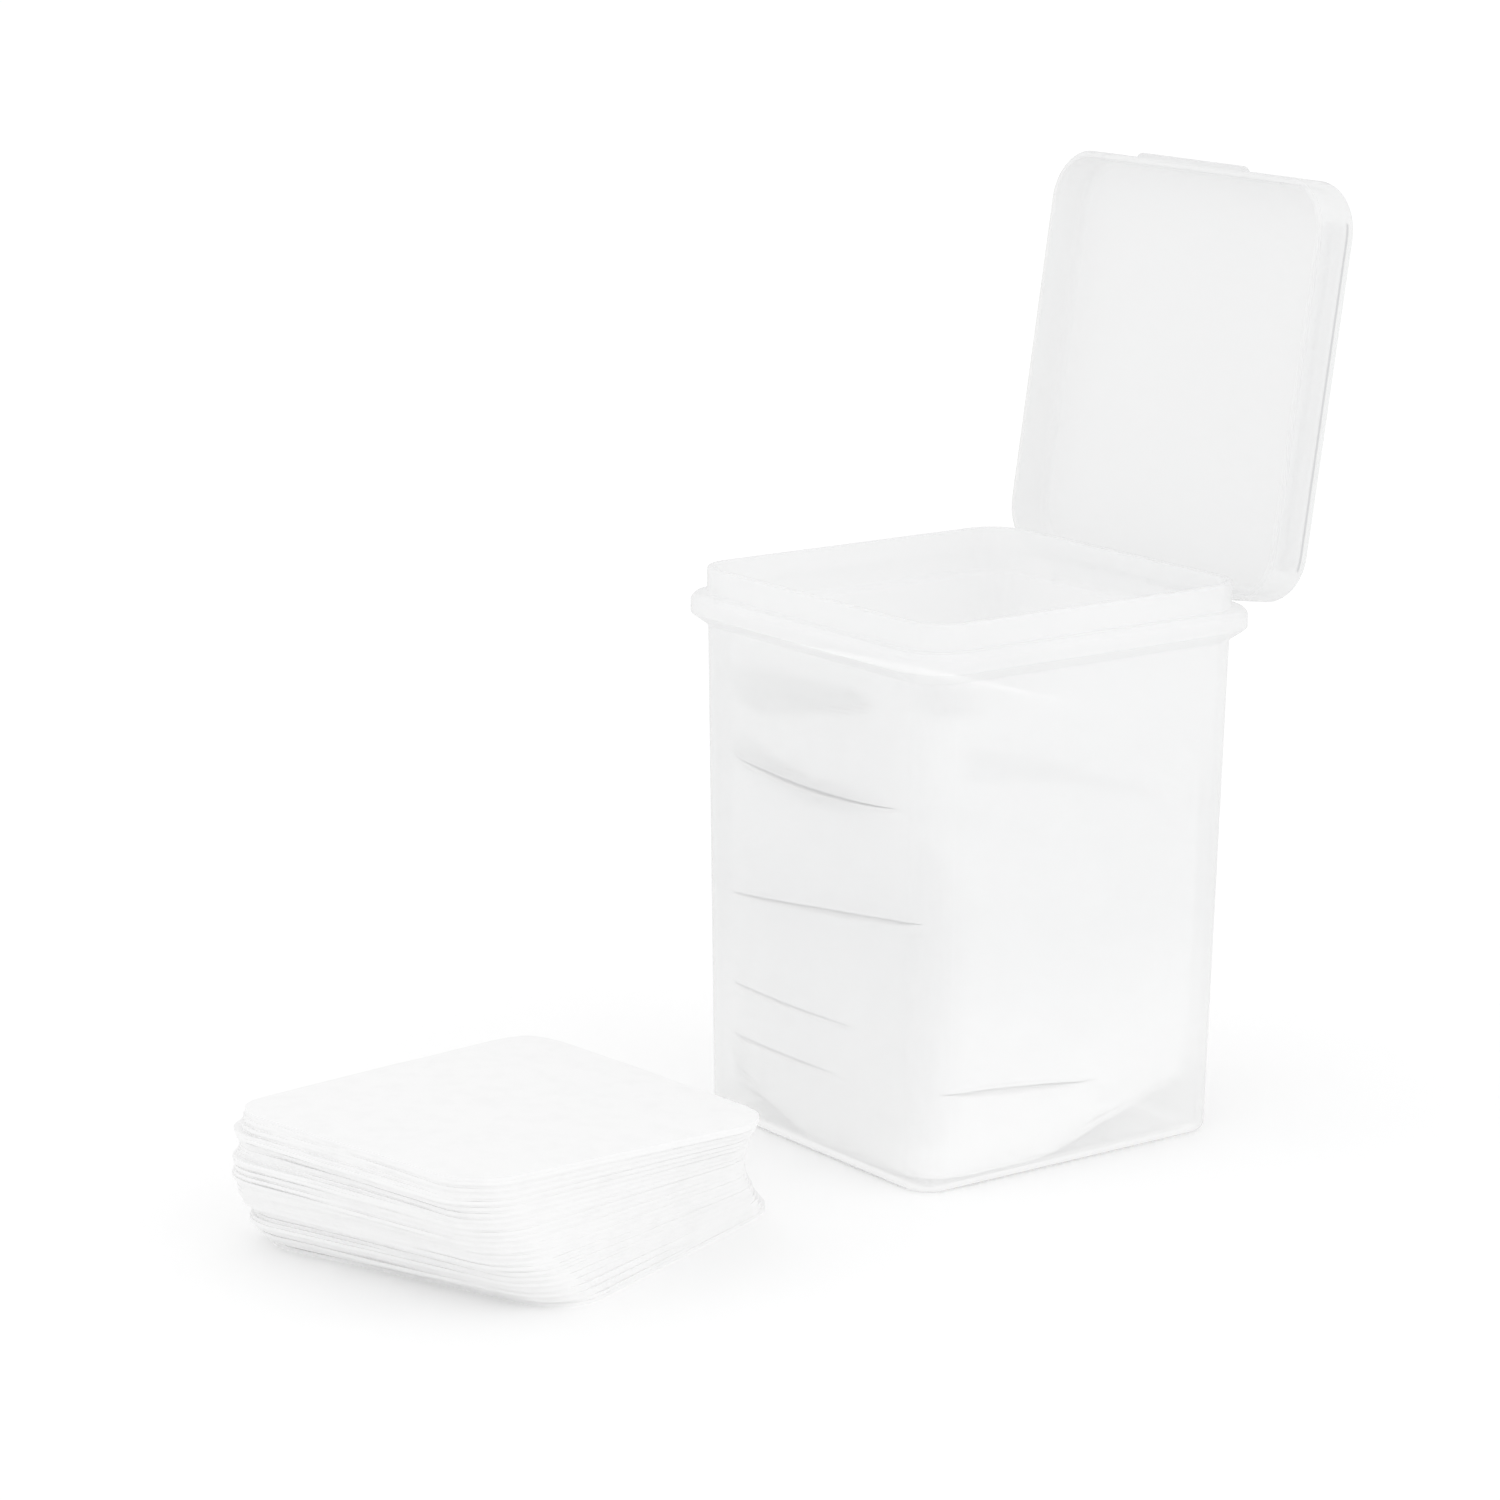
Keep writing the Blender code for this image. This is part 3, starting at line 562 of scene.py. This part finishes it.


# Made shut, then turned open. On its right and front outside alone, an attribute holds painted shade: darker
# bands on the skirt, a ring and a line under the top edge, the last two by exp(-(way off / width)^2).
def makeLid(c, material):
    t, s = c["thumbHalf"], c["snapHalf"]
    right = [3.6, 7.4, t - 0.55, t - 0.25, t - 0.06, t, t + 0.3, 15, s - 0.5, s - 0.2, s, s + 0.4]
    stopsX = np.array([-v for v in right[::-1]] + [0.0] + right)
    stopsY = np.array([-20.5, -16, -12, -8, -4, 0, 4, 8, 12, 16, 20.5])
    points = loftPoints(lidRows(c), ringColumns(stopsX, stopsY, 14))
    x, y, z = (points[..., k] for k in range(3))
    rowNumber = np.arange(len(points))[:, None]
    rimRow = int(z.min(axis=1).argmin())
    front = (y < -28) & (np.abs(x) < 21)
    thumb = ribReach(x, z, t, lidRim + c["thumbMiddle"], c["thumbThick"], c["thumbReach"])
    snap = ribReach(x, z, s, lidRim + c["snapMiddle"], c["snapThick"], c["snapReach"])
    points[..., 1] -= np.where(front & (rowNumber > rimRow + 3), thumb, 0)
    points[..., 1] += np.where(front & (rowNumber < rimRow - 2), snap, 0)
    inShares, outShares = (0.15, 0.4, 0.65, 0.85), (0.85, 0.65, 0.4, 0.15)
    ceiling = lidTop - c["wall"]
    inside = drawnIn(points[0], inShares, [ceiling + c["crown"] * (1 - q ** 2) for q in inShares])
    outside = drawnIn(points[-1], outShares, [lidTop + c["crown"] * (1 - q ** 2) for q in outShares])
    whole = np.concatenate([inside, points, outside])
    vertices, faces = closedLoft(whole, ceiling + c["crown"], lidTop + c["crown"])
    piece = addPiece("lidMoulding", openedLid(vertices, c["open"]), faces, material)
    level = vertices[:, 2]
    skirt = np.clip((ceiling - c["skirtTop"] - level) / c["skirtFade"], 0, 1)
    ring = np.exp(-((level - lidRim - c["ringLevel"]) / c["ringWidth"]) ** 2)
    line = np.exp(-((level - lidTop + c["lineDepth"]) / c["lineWidth"]) ** 2)
    # Painted shade, on the right and front outside alone: the skirt, a ring and a line under the top edge.
    outer = np.maximum(vertices[:, 0] - lidOuter[0], -vertices[:, 1] - lidOuter[1]) > -c["lineIn"]
    shadeBands = c["skirtShade"] * skirt + c["ringShade"] * ring + c["lineShade"] * line
    addGrade(piece, "shadeBands", outer * shadeBands)
    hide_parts("lid")
    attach(piece, "lid")
    return piece


makeLid(lid, frostedPlastic("frostedLid", shadedLidLook))
print("lid made")


hinge = dict(
    half=17.0, thick=0.38, flexThick=0.26, flexReach=0.35,
    foot=((30.82, 75.27), (30.82, 76.45)), bend=(30.82, 77.42), flap=((31.3, 77.37), (33.0, 77.12)),
    start=(0.0, 30.82, 76.5), end=(0.0, 31.35, 77.4),
)
hingeLook = dict(
    bodyLook, colour=(0.96, 0.962, 0.965), colourPatch=(0.97, 0.972, 0.975), roughness=(0.3, 0.42),
    wearAt=77.0, wearReach=1.5, patchScale=90.0,
)


# The strip's middle line runs up the foot, round a parabola and out along the flap. Its two faces
# stand off by half the thickness across the line, which is least at the bend.
def makeHinge(c, material):
    foot, flap = np.array(c["foot"]), np.array(c["flap"])
    t = np.linspace(0, 1, 17)[:, None]
    curve = (1 - t) ** 2 * foot[1] + 2 * t * (1 - t) * np.array(c["bend"]) + t ** 2 * flap[0]
    straight = np.linspace(0, 1, 7)[:-1, None]
    line = np.concatenate([foot[0] + (foot[1] - foot[0]) * straight, curve,
                           flap[0] + (flap[1] - flap[0]) * np.linspace(0, 1, 8)[1:, None]])
    along = np.gradient(line, axis=0)
    along = along / np.linalg.norm(along, axis=1)[:, None]
    side = np.stack([-along[:, 1], along[:, 0]], axis=1)
    run = np.concatenate([[0], np.cumsum(np.linalg.norm(np.diff(line, axis=0), axis=1))])
    middle = run[len(straight) + 8]
    thin = np.exp(-((run - middle) / c["flexReach"]) ** 2)
    half = (c["thick"] - (c["thick"] - c["flexThick"]) * thin)[:, None] / 2
    width = np.linspace(-c["half"], c["half"], 25)

    def face(edge):
        y, z = (np.repeat(edge[:, k, None], len(width), axis=1) for k in (0, 1))
        return np.stack([np.broadcast_to(width, y.shape), y, z], axis=2)

    vertices, faces, _ = closedSlab(face(line + side * half), face(line - side * half), 0.0)
    piece = addPiece("livingHinge", vertices, faces, material, 50.0)
    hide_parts("hinge_web_lower", "hinge_web_upper")
    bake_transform(piece)
    return piece


makeHinge(hinge, frostedPlastic("hingePlastic", hingeLook))
print("hinge made")


wipe = dict(
    half=(26.0, 26.5), corner=7.0, ragged=0.16, fill=0.985, push=0.02, sharp=60.0, uvSize=60,
    tones=(0.8, 1.3), waves=(3, 5, 8, 13, 21),
)
# Painted light: the packed wipes are a paler copy of the loose wipes' nonwoven, against the light the
# container keeps off them.
litPackedLook = dict(
    # Painted shade: the grey towards which edges kept back from the wall are painted.
    colour=(0.99, 0.99, 0.99), shade=(0.98, 0.98, 0.98), recessShadeColour=(0.84, 0.84, 0.84),
    fibreScale=1500.0, clumpScale=260.0, clumpHeight=0.6, cloud=(0.25, 0.55), bump=0.35, depth=0.08,
    roughness=(0.86, 0.97), sheen=0.15, specular=0.2,
)
looseLook = dict(
    litPackedLook, colour=(0.88, 0.88, 0.88), shade=(0.857, 0.857, 0.857),
    fibreScale=1700.0, clumpScale=300.0, bump=0.4, depth=0.09, roughness=(0.84, 0.96),
)


# White nonwoven: matt, with crossing fibres, cloudy thin and thick places, and a tone of each wipe's own.
# Edges that stay back from the wall are painted greyer by an attribute: painted shade in those recesses.
def nonwoven(name, look):
    material, tree, shader = newMaterial(name)
    place = addNode(tree, "ShaderNodeTexCoord").outputs["Object"]
    web = useGroup(tree, fibreGroup, Vector=place, Scale=look["fibreScale"], Clump_Scale=look["clumpScale"])
    cloudy = addNode(tree, "ShaderNodeMapRange", Value=web.outputs["Clumps"],
                     From_Min=look["cloud"][0], From_Max=look["cloud"][1])
    share = addMath(tree, "MULTIPLY", cloudy.outputs[0], readGrade(tree, "tone"), clamp=True)
    tint = mixColours(tree, share, look["shade"], look["colour"])
    # Painted shade on edges kept back from the wall.
    recessShaded = mixColours(tree, readGrade(tree, "recessShade"), tint, look["recessShadeColour"])
    tree.links.new(recessShaded, shader.inputs["Base Color"])
    sheen = useGroup(tree, sheenGroup, Patches=web.outputs["Clumps"], Low=look["roughness"][0],
                     High=look["roughness"][1], Worn=0.0)
    tree.links.new(sheen.outputs[0], shader.inputs["Roughness"])
    clumps = addMath(tree, "MULTIPLY", web.outputs["Clumps"], look["clumpHeight"])
    height = addMath(tree, "ADD", web.outputs["Fibres"], clumps)
    bump = addNode(tree, "ShaderNodeBump", Height=height, Strength=look["bump"], Distance=look["depth"] * mm)
    tree.links.new(bump.outputs[0], shader.inputs["Normal"])
    shader.inputs["Sheen Weight"].default_value = look["sheen"]
    shader.inputs["Specular IOR Level"].default_value = look["specular"]
    return material


# A square grid, closer at its edges by a share of a sine, whose corner cells are pulled in to round corners.
def roundedGrid(half, corner, cells):
    t = np.linspace(-1, 1, cells + 1)
    t = 0.55 * t + 0.45 * np.sin(np.pi / 2 * t)
    x, y = np.meshgrid(t * half[0], t * half[1])
    overX, overY = np.abs(x) - (half[0] - corner), np.abs(y) - (half[1] - corner)
    inCorner = (overX > 0) & (overY > 0)
    pull = np.where(inCorner, np.maximum(overX, overY) / np.maximum(np.hypot(overX, overY), 1e-9), 1.0)
    x = np.where(inCorner, np.sign(x) * (half[0] - corner + overX * pull), x)
    y = np.where(inCorner, np.sign(y) * (half[1] - corner + overY * pull), y)
    return x, y


# Sums of sines round the edge, with phases by luck, push it in and out, by the eighth power of nearness.
def raggedEdge(x, y, half, luck, amount):
    around = np.arctan2(y, x)
    near = np.maximum(np.abs(x) / half[0], np.abs(y) / half[1]) ** 8
    wave = 0
    for turns in wipe["waves"]:
        wave = wave + np.sin(turns * around + luck.uniform(0, 6.283)) / math.sqrt(turns)
    grow = 1 + amount * near * wave / np.hypot(x + 1e-9, y)
    return x * grow, y * grow


# A wipe between two heights, with its flat shape as UV: 0.5 in its middle, and a whole map uvSize wide.
def addWipe(name, node, x, y, low, high, flatX, flatY, tone, material, recessShade=None):
    above, below = (np.stack([x, y, z], axis=2) for z in (high, low))
    vertices, faces, border = closedSlab(above, below, wipe["push"])
    piece = addPiece(name, vertices, faces, material, wipe["sharp"])
    mesh = piece.data
    addGrade(piece, "tone", np.full(len(vertices), tone))
    if recessShade is not None:
        # Painted shade on edges kept back from the wall, held for each vertex.
        back = recessShade.ravel()
        addGrade(piece, "recessShade", np.concatenate([back, back, back[border]]))
    flat = np.stack([flatX.ravel(), flatY.ravel()], axis=1) / wipe["uvSize"] + 0.5
    across = np.concatenate([flat, flat, flat[border]])
    corners = np.empty(len(mesh.loops), np.int32)
    mesh.loops.foreach_get("vertex_index", corners)
    layer = mesh.uv_layers.new(name="sheet")
    layer.uv.foreach_set("vector", across[corners].astype(np.float32).ravel())
    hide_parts(node)
    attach(piece, "container")
    return piece


# Bottom to top: each layer has its thickness at the middle and the shares of it that it gains over half
# a wipe to the right, to both sides, to the back, and where the back edge curls up.
packedLayers = (
    dict(sheaves=0, thick=0.2, right=0.0, sides=0.0, back=0.0, curl=42.5),
    dict(sheaves=5, thick=8.4, right=0.083, sides=0.119, back=-0.298, curl=0.0),
    dict(sheaves=3, thick=7.9, right=-0.025, sides=0.0, back=0.025, curl=-0.19),
    dict(sheaves=6, thick=15.9, right=0.132, sides=-0.031, back=0.019, curl=-0.252),
    dict(sheaves=6, thick=14.4, right=-0.167, sides=0.132, back=-0.174, curl=-0.347, cornerIn=3.5),
    dict(sheaves=2, thick=5.1, right=0.244, sides=-0.056, back=-0.068, curl=-0.477),
    dict(sheaves=3, thick=7.3, right=0.159, sides=-0.318, back=0.041, curl=-0.514),
    dict(sheaves=0, thick=1.2, right=-1.4, sides=0.1, back=-1.5, curl=0.3),
    dict(sheaves=2, thick=4.6, right=0.0, sides=0.0, back=-0.087, curl=-0.304),
)
# Where the layers part at the wall: the openings' heights along the front (by x) and along the right side
# (by y), the share of it that lifts what lies over it, and how far in it closes.
openings = (
    dict(over=1, lift=1.0, reach=3.2, frontX=(-24, -19.5, -12, -5.7, -2), front=(6.5, 5.6, 3.2, 1.1, 0),
         rightY=(-4, -1.4, 6, 15, 25.5), right=(0, 0.7, 2.6, 2.9, 0.4)),
    dict(over=2, lift=0.5, reach=0.8, frontX=(-24, -19, -16, -6, 1, 4), front=(0.4, 0.9, 0.6, 0.5, 0.3, 0),
         rightY=(-24, -21, -15, -8, 1, 4), right=(0, 0.3, 1.1, 1.1, 0.4, 0)),
    dict(over=3, lift=0.5, reach=0.6,
         frontX=(-24, -19.4, -13.6, -3.8, 4.6, 8), front=(0.4, 0.6, 0.6, 0.4, 0.3, 0)),
    dict(over=4, lift=0.5, reach=0.9,
         frontX=(-24, -18.7, -11, 3, 8, 16.5, 25), front=(0.3, 0.4, 0.6, 1.0, 1.1, 0.8, 0)),
    dict(over=5, lift=0.5, reach=0.8,
         frontX=(-24, -20, -16, -11, -2, 6, 12, 17, 19), front=(0, 0.1, 0.3, 0.5, 0.6, 0.5, 0.3, 0.1, 0)),
)
# Bands of edges that stay back from the front wall (by x) or from the right one (by y), and are painted
# greyer there as painted shade: their upper and lower limits, and how far back they lie.
recesses = (
    dict(wall="front", at=(-24, -20, -15, -11.5, -2, 4, 10, 13),
         upper=(66.4, 67, 67.8, 68.1, 68.4, 68.6, 68.4, 68),
         lower=(64.2, 62.9, 61.5, 62.2, 64, 65, 66.4, 67), deep=(0.9, 1.2, 1.4, 1.5, 1.6, 1.8, 1.8, 0)),
    dict(wall="front", at=(-24, -20, -16, -11, -2, 6, 12, 17, 20),
         upper=(56.3, 56.8, 57, 55.5, 54.3, 54.5, 54.6, 54.6, 54),
         lower=(53.8, 53.1, 52.6, 52, 50.9, 51.2, 52.5, 53.8, 54),
         deep=(1.0, 1.3, 1.7, 2.1, 2.2, 1.8, 1.2, 0.6, 0)),
    dict(wall="right", at=(-23, -20, -7, 2, 11, 15), upper=(63.6, 63.3, 60.3, 56.5, 54.1, 52.6),
         lower=(59.5, 59, 57, 55, 52.2, 51.4), deep=(0, 0.6, 0.8, 0.8, 0.6, 0)),
    dict(wall="front", at=(20, 22, 24, 27),
         upper=(72, 72, 72, 72), lower=(69.5, 68.5, 68, 68), deep=(0, 1.2, 1.8, 1.8)),
    dict(wall="right", at=(-27, -24, -22, -20),
         upper=(52, 50, 46, 42), lower=(6, 6, 6, 6), deep=(1.1, 1.1, 0.8, 0)),
)
# Its last share turns how far an edge stays back into painted shade on it.
packed = dict(
    half=(24.4, 25.9), curlLeft=0.4, perSheaf=5, cells=17, toWall=0.16, slip=0.15, seed=11,
    backShape=0.25, recessShadeShare=0.4,
)


# thick (1 + right u + sides u^2 + back v + curl v^2 where v is behind the middle), never below 0.
def layerThickness(layer, x, y):
    u, v = x / packed["half"][0], y / packed["half"][1]
    left = packed["curlLeft"]
    curled = np.maximum(0, v) ** 2 * ((1 + left) / 2 + (1 - left) / 2 * u)
    share = 1 + layer["right"] * u + layer["sides"] * u ** 2 + layer["back"] * v + layer["curl"] * curled
    return layer["thick"] * np.maximum(0, share)


# Height under a layer: the floor's, plus the thickness of each layer below.
def layerFloor(below, x, y):
    return container["floor"] + sum(layerThickness(layer, x, y) for layer in packedLayers[:below])


# Height of the opening under a layer: the profile along each wall times exp(-(way in / reach)^2).
def openingUnder(below, x, y, half):
    part = next((o for o in openings if o["over"] == below), None)
    if part is None:
        return 0.0, 0.0
    front = np.interp(x, part.get("frontX", (0,)), part.get("front", (0,)))
    right = np.interp(y, part.get("rightY", (0,)), part.get("right", (0,)))
    front = front * np.exp(-((y + half[1]) / part["reach"]) ** 2)
    right = right * np.exp(-((half[0] - x) / part["reach"]) ** 2)
    return (front + right) * part["lift"], (front + right) * (1 - part["lift"])


# How far the edges at the height z stay back: the band's depth, fading over soft at its limits and by
# exp(-(way in / reach)^2) off the wall.
def keptBack(x, y, z, half, soft=1.5, reach=6.0):
    back = {"front": 0.0, "right": 0.0}
    for band in recesses:
        place, away = (x, y + half[1]) if band["wall"] == "front" else (y, half[0] - x)
        upper, lower, deep = (np.interp(place, band["at"], band[k]) for k in ("upper", "lower", "deep"))
        within = np.clip((upper - z) / soft + 0.5, 0, 1) * np.clip((z - lower) / soft + 0.5, 0, 1)
        back[band["wall"]] = back[band["wall"]] + deep * within * np.exp(-(away / reach) ** 2)
    return back["right"], back["front"]


# Half the height of a hollow between two layers, which the wipes sag and swell to fill but for its
# opening, and None where there is no hollow.
def hollowHalf(place, x, y):
    if 0 < place < len(packedLayers) and packedLayers[place]["sheaves"] == 0:
        return layerThickness(packedLayers[place], x, y) / 2
    return None


# Each wipe lies at its share of its layer's height, between the openings under and over the layer.
def makePackedWipes(p, material):
    luck = random.Random(p["seed"])
    number = sheaf = 0
    for below, layer in enumerate(packedLayers):
        for index in range(layer["sheaves"]):
            sheaf += 1
            node = f"packed_wipes_{sheaf:02d}"
            for part in range(p["perSheaf"]):
                number += 1
                share = (index + part / p["perSheaf"]) / layer["sheaves"]
                step = 1 / p["perSheaf"] / layer["sheaves"]
                height = float(layerFloor(below, 0.0, 0.0) + share * layerThickness(layer, 0.0, 0.0))
                room = wallHalf(height, container["wall"] + p["toWall"])
                half = tuple(min(wipe["half"][k], room[k]) for k in (0, 1))
                flatX, flatY = roundedGrid(half, wipe["corner"], p["cells"])
                x, y = raggedEdge(flatX, flatY, half, luck, wipe["ragged"])
                pull = [luck.uniform(0, p["slip"]) for _ in range(2)]
                x = np.clip(x * (1 - pull[0] / half[0]), -half[0], half[0])
                y = np.clip(y * (1 - pull[1] / half[1]), -half[1], half[1])
                cut = np.clip(2 * x / half[0] - 1, 0, 1) * np.clip(-2 * y / half[1] - 1, 0, 1)
                cut = cut * layer.get("cornerIn", 0.0) * share ** 2
                x, y = x - cut, y + cut
                hollows = hollowHalf(below - 1, x, y), hollowHalf(below + 1, x, y)
                above = below + 1 if hollows[1] is None else below + 2
                lifted = openingUnder(below, x, y, half)[0] - (0 if hollows[0] is None else hollows[0])
                pressed = openingUnder(above, x, y, half)[1] - (0 if hollows[1] is None else hollows[1])
                ground = layerFloor(below, x, y) + lifted
                thick = layerThickness(layer, x, y) - lifted - pressed
                low = ground + share * thick
                high = low + step * thick * wipe["fill"]
                leftward, backward = keptBack(x, y, low, half)
                x, y = x - leftward * p["backShape"], y + backward * p["backShape"]
                # Painted shade: how far an edge stays back makes it greyer.
                recessShade = np.clip((leftward + backward) * p["recessShadeShare"], 0, 1)
                addWipe(f"packedWipe{number:03d}", node, x, y, low, high, flatX, flatY,
                        luck.uniform(*wipe["tones"]), material, recessShade)
    return number


packedCount = makePackedWipes(packed, nonwoven("packedNonwoven", litPackedLook))
print("packed wipes made:", packedCount)


pile = dict(
    sheaves=22, perSheaf=2, height=20.6, nearRise=1.0, crown=0.3, saddle=0.6,
    foot=(2.0, -78.6), waist=(5.5, -85.6), top=(10.9, -87.6), footTurn=21.8, topTurn=5.8,
    slip=0.55, slipTurn=1.1, flush=0.88, seed=7, cells=17, ownSlip=0.22, ownTurn=0.4,
    edgeDroop=0.35, droopReach=2.2,
)


# A value on the parabola through its values at the foot, waist and top of the pile.
def alongPile(foot, waist, top, share):
    nearFoot = (1 - share) * (1 - 2 * share)
    nearTop = share * (2 * share - 1)
    return foot * nearFoot + waist * (1 - nearFoot - nearTop) + top * nearTop


# Height of the whole pile: its middle height, higher at the near corner, raised at the near and far
# corners by a saddle, and a little crowned.
def pileHeight(x, y):
    along = (x - pile["top"][0]) / (2 * wipe["half"][0])
    forward = (pile["top"][1] - y) / (2 * wipe["half"][1])
    tilt = pile["nearRise"] * (along + forward) + 4 * pile["saddle"] * along * forward
    return pile["height"] + tilt + pile["crown"] * (1 - 2 * along ** 2 - 2 * forward ** 2)


# Points of a flat wipe after a turn about its middle, which lies at centre.
def turnedFlat(x, y, angle, centre):
    return (centre[0] + x * math.cos(angle) - y * math.sin(angle),
            centre[1] + x * math.sin(angle) + y * math.cos(angle))


# The wipes lie unevenly, but flush by a share at their right edges.
def makeLoosePile(p, material):
    luck = random.Random(p["seed"])
    own = random.Random(p["seed"] + 1)
    total = p["sheaves"] * p["perSheaf"]
    number = 0
    for index in range(p["sheaves"]):
        share = index / (p["sheaves"] - 1)
        even = p["footTurn"] + (p["topTurn"] - p["footTurn"]) * share
        turn = even + luck.uniform(-1, 1) * p["slipTurn"]
        middle = [alongPile(p["foot"][k], p["waist"][k], p["top"][k], share) for k in (0, 1)]
        centre = [value + luck.uniform(-1, 1) * p["slip"] for value in middle]
        node = f"loose_wipes_{index + 1:02d}"
        for _ in range(p["perSheaf"]):
            flatX, flatY = roundedGrid(wipe["half"], wipe["corner"], p["cells"])
            wavyX, wavyY = raggedEdge(flatX, flatY, wipe["half"], own, wipe["ragged"])
            angle = math.radians(turn + own.uniform(-1, 1) * p["ownTurn"])
            slipped = [value + own.uniform(-1, 1) * p["ownSlip"] for value in centre]
            flush = p["flush"] * np.clip(flatX / wipe["half"][0], 0, 1)
            uneven = turnedFlat(wavyX, wavyY, angle, slipped)
            level = turnedFlat(flatX, flatY, math.radians(even), middle)
            x, y = (a * (1 - flush) + b * flush for a, b in zip(uneven, level))
            inward = np.minimum(wipe["half"][0] - np.abs(flatX), wipe["half"][1] - np.abs(flatY))
            whole = pileHeight(x, y) - p["edgeDroop"] * np.exp(-inward / p["droopReach"])
            low = number / total * whole
            high = low + whole / total * wipe["fill"]
            number += 1
            addWipe(f"looseWipe{number:02d}", node, x, y, low, high, flatX, flatY,
                    own.uniform(*wipe["tones"]), material)
    return number


looseCount = makeLoosePile(pile, nonwoven("looseNonwoven", looseLook))
print("loose wipes made:", looseCount)


stageLook = dict(
    floorSize=6000.0, floorColour=(0.96, 0.96, 0.96), floorRoughness=0.9, floorWhite=0.05, whiteLevel=1.1,
    worldLevel=0.98, throughLevel=0.88,
)
lamps = (
    dict(name="keyLamp", azimuth=110.0, elevation=20.0, spread=70.0, strength=0.135),
    dict(name="fillLamp", azimuth=-10.0, elevation=30.0, spread=90.0, strength=0.1),
)


# 1 for rays from the camera that have come through frosted plastic, which mixes the light from all
# sides, so that floor and backdrop show behind it as one level tone.
def throughRays(tree):
    path = addNode(tree, "ShaderNodeLightPath").outputs
    return addMath(tree, "MULTIPLY", path["Is Camera Ray"], path["Transparent Depth"], clamp=True)


# 1 for rays straight from the camera and for mirrored and refracted ones, 0 for those that light the
# object.
def seenRays(tree):
    path = addNode(tree, "ShaderNodeLightPath").outputs
    direct = addMath(tree, "SUBTRACT", path["Is Camera Ray"], path["Transparent Depth"], clamp=True)
    either = addMath(tree, "MAXIMUM", direct, path["Is Glossy Ray"])
    return addMath(tree, "MAXIMUM", either, path["Is Transmission Ray"])


# White paper that shows a little brighter than it is lit, and as one level tone behind plastic.
def makeFloor(look):
    size = look["floorSize"]
    points = np.array([[-size, -size, 0], [size, -size, 0], [size, size, 0], [-size, size, 0]])
    material, tree, shader = newMaterial("floorPaper")
    shader.inputs["Base Color"].default_value = (*look["floorColour"], 1)
    shader.inputs["Roughness"].default_value = look["floorRoughness"]
    shader.inputs["Specular IOR Level"].default_value = 0.0
    white = addNode(tree, "ShaderNodeEmission", Color=(1, 1, 1, 1), Strength=look["whiteLevel"])
    share = addMath(tree, "MULTIPLY", seenRays(tree), look["floorWhite"])
    mix = addNode(tree, "ShaderNodeMixShader", in0=share, in1=shader.outputs[0], in2=white.outputs[0])
    even = addNode(tree, "ShaderNodeEmission", Color=(1, 1, 1, 1), Strength=look["throughLevel"])
    both = addNode(tree, "ShaderNodeMixShader", in0=throughRays(tree), in1=mix.outputs[0],
                   in2=even.outputs[0])
    tree.links.new(both.outputs[0], tree.nodes["Material Output"].inputs["Surface"])
    addPiece("floor", points, [[0, 1, 2, 3]], material)


# The backdrop: 1 where it is seen, throughLevel behind plastic, and worldLevel where it lights the object.
def makeWorld(look):
    world = bpy.data.worlds.new("studio")
    world.use_nodes = True
    scene.world = world
    tree = world.node_tree
    tree.nodes.clear()
    lit = addNode(tree, "ShaderNodeMapRange", Value=throughRays(tree), To_Min=look["worldLevel"],
                  To_Max=look["throughLevel"])
    level = addNode(tree, "ShaderNodeMapRange", Value=seenRays(tree), To_Min=lit.outputs[0], To_Max=1.0)
    background = addNode(tree, "ShaderNodeBackground", Color=(1, 1, 1, 1), Strength=level.outputs[0])
    output = addNode(tree, "ShaderNodeOutputWorld")
    tree.links.new(background.outputs[0], output.inputs["Surface"])


# A lamp's power is the brightness that it gives a facing white surface, times pi.
def makeLamps(several):
    for lamp in several:
        a, e = math.radians(lamp["azimuth"]), math.radians(lamp["elevation"])
        towards = Vector((math.sin(a) * math.cos(e), -math.cos(a) * math.cos(e), math.sin(e)))
        data = bpy.data.lights.new(lamp["name"], "SUN")
        data.angle = math.radians(lamp["spread"])
        data.energy = lamp["strength"] * math.pi
        made = bpy.data.objects.new(lamp["name"], data)
        turn = towards.to_track_quat("Z", "Y").to_matrix().to_4x4()
        made.matrix_world = Matrix.Translation(towards) @ turn
        scene.collection.objects.link(made)


makeFloor(stageLook)
makeWorld(stageLook)
makeLamps(lamps)
scene.view_settings.view_transform = "Standard"
scene.cycles.max_bounces = 20  # light crosses the frosted walls many times
scene.cycles.diffuse_bounces = 12
scene.cycles.transparent_max_bounces = 32
print("floor, world and lamps set")

bpy.context.view_layer.update()
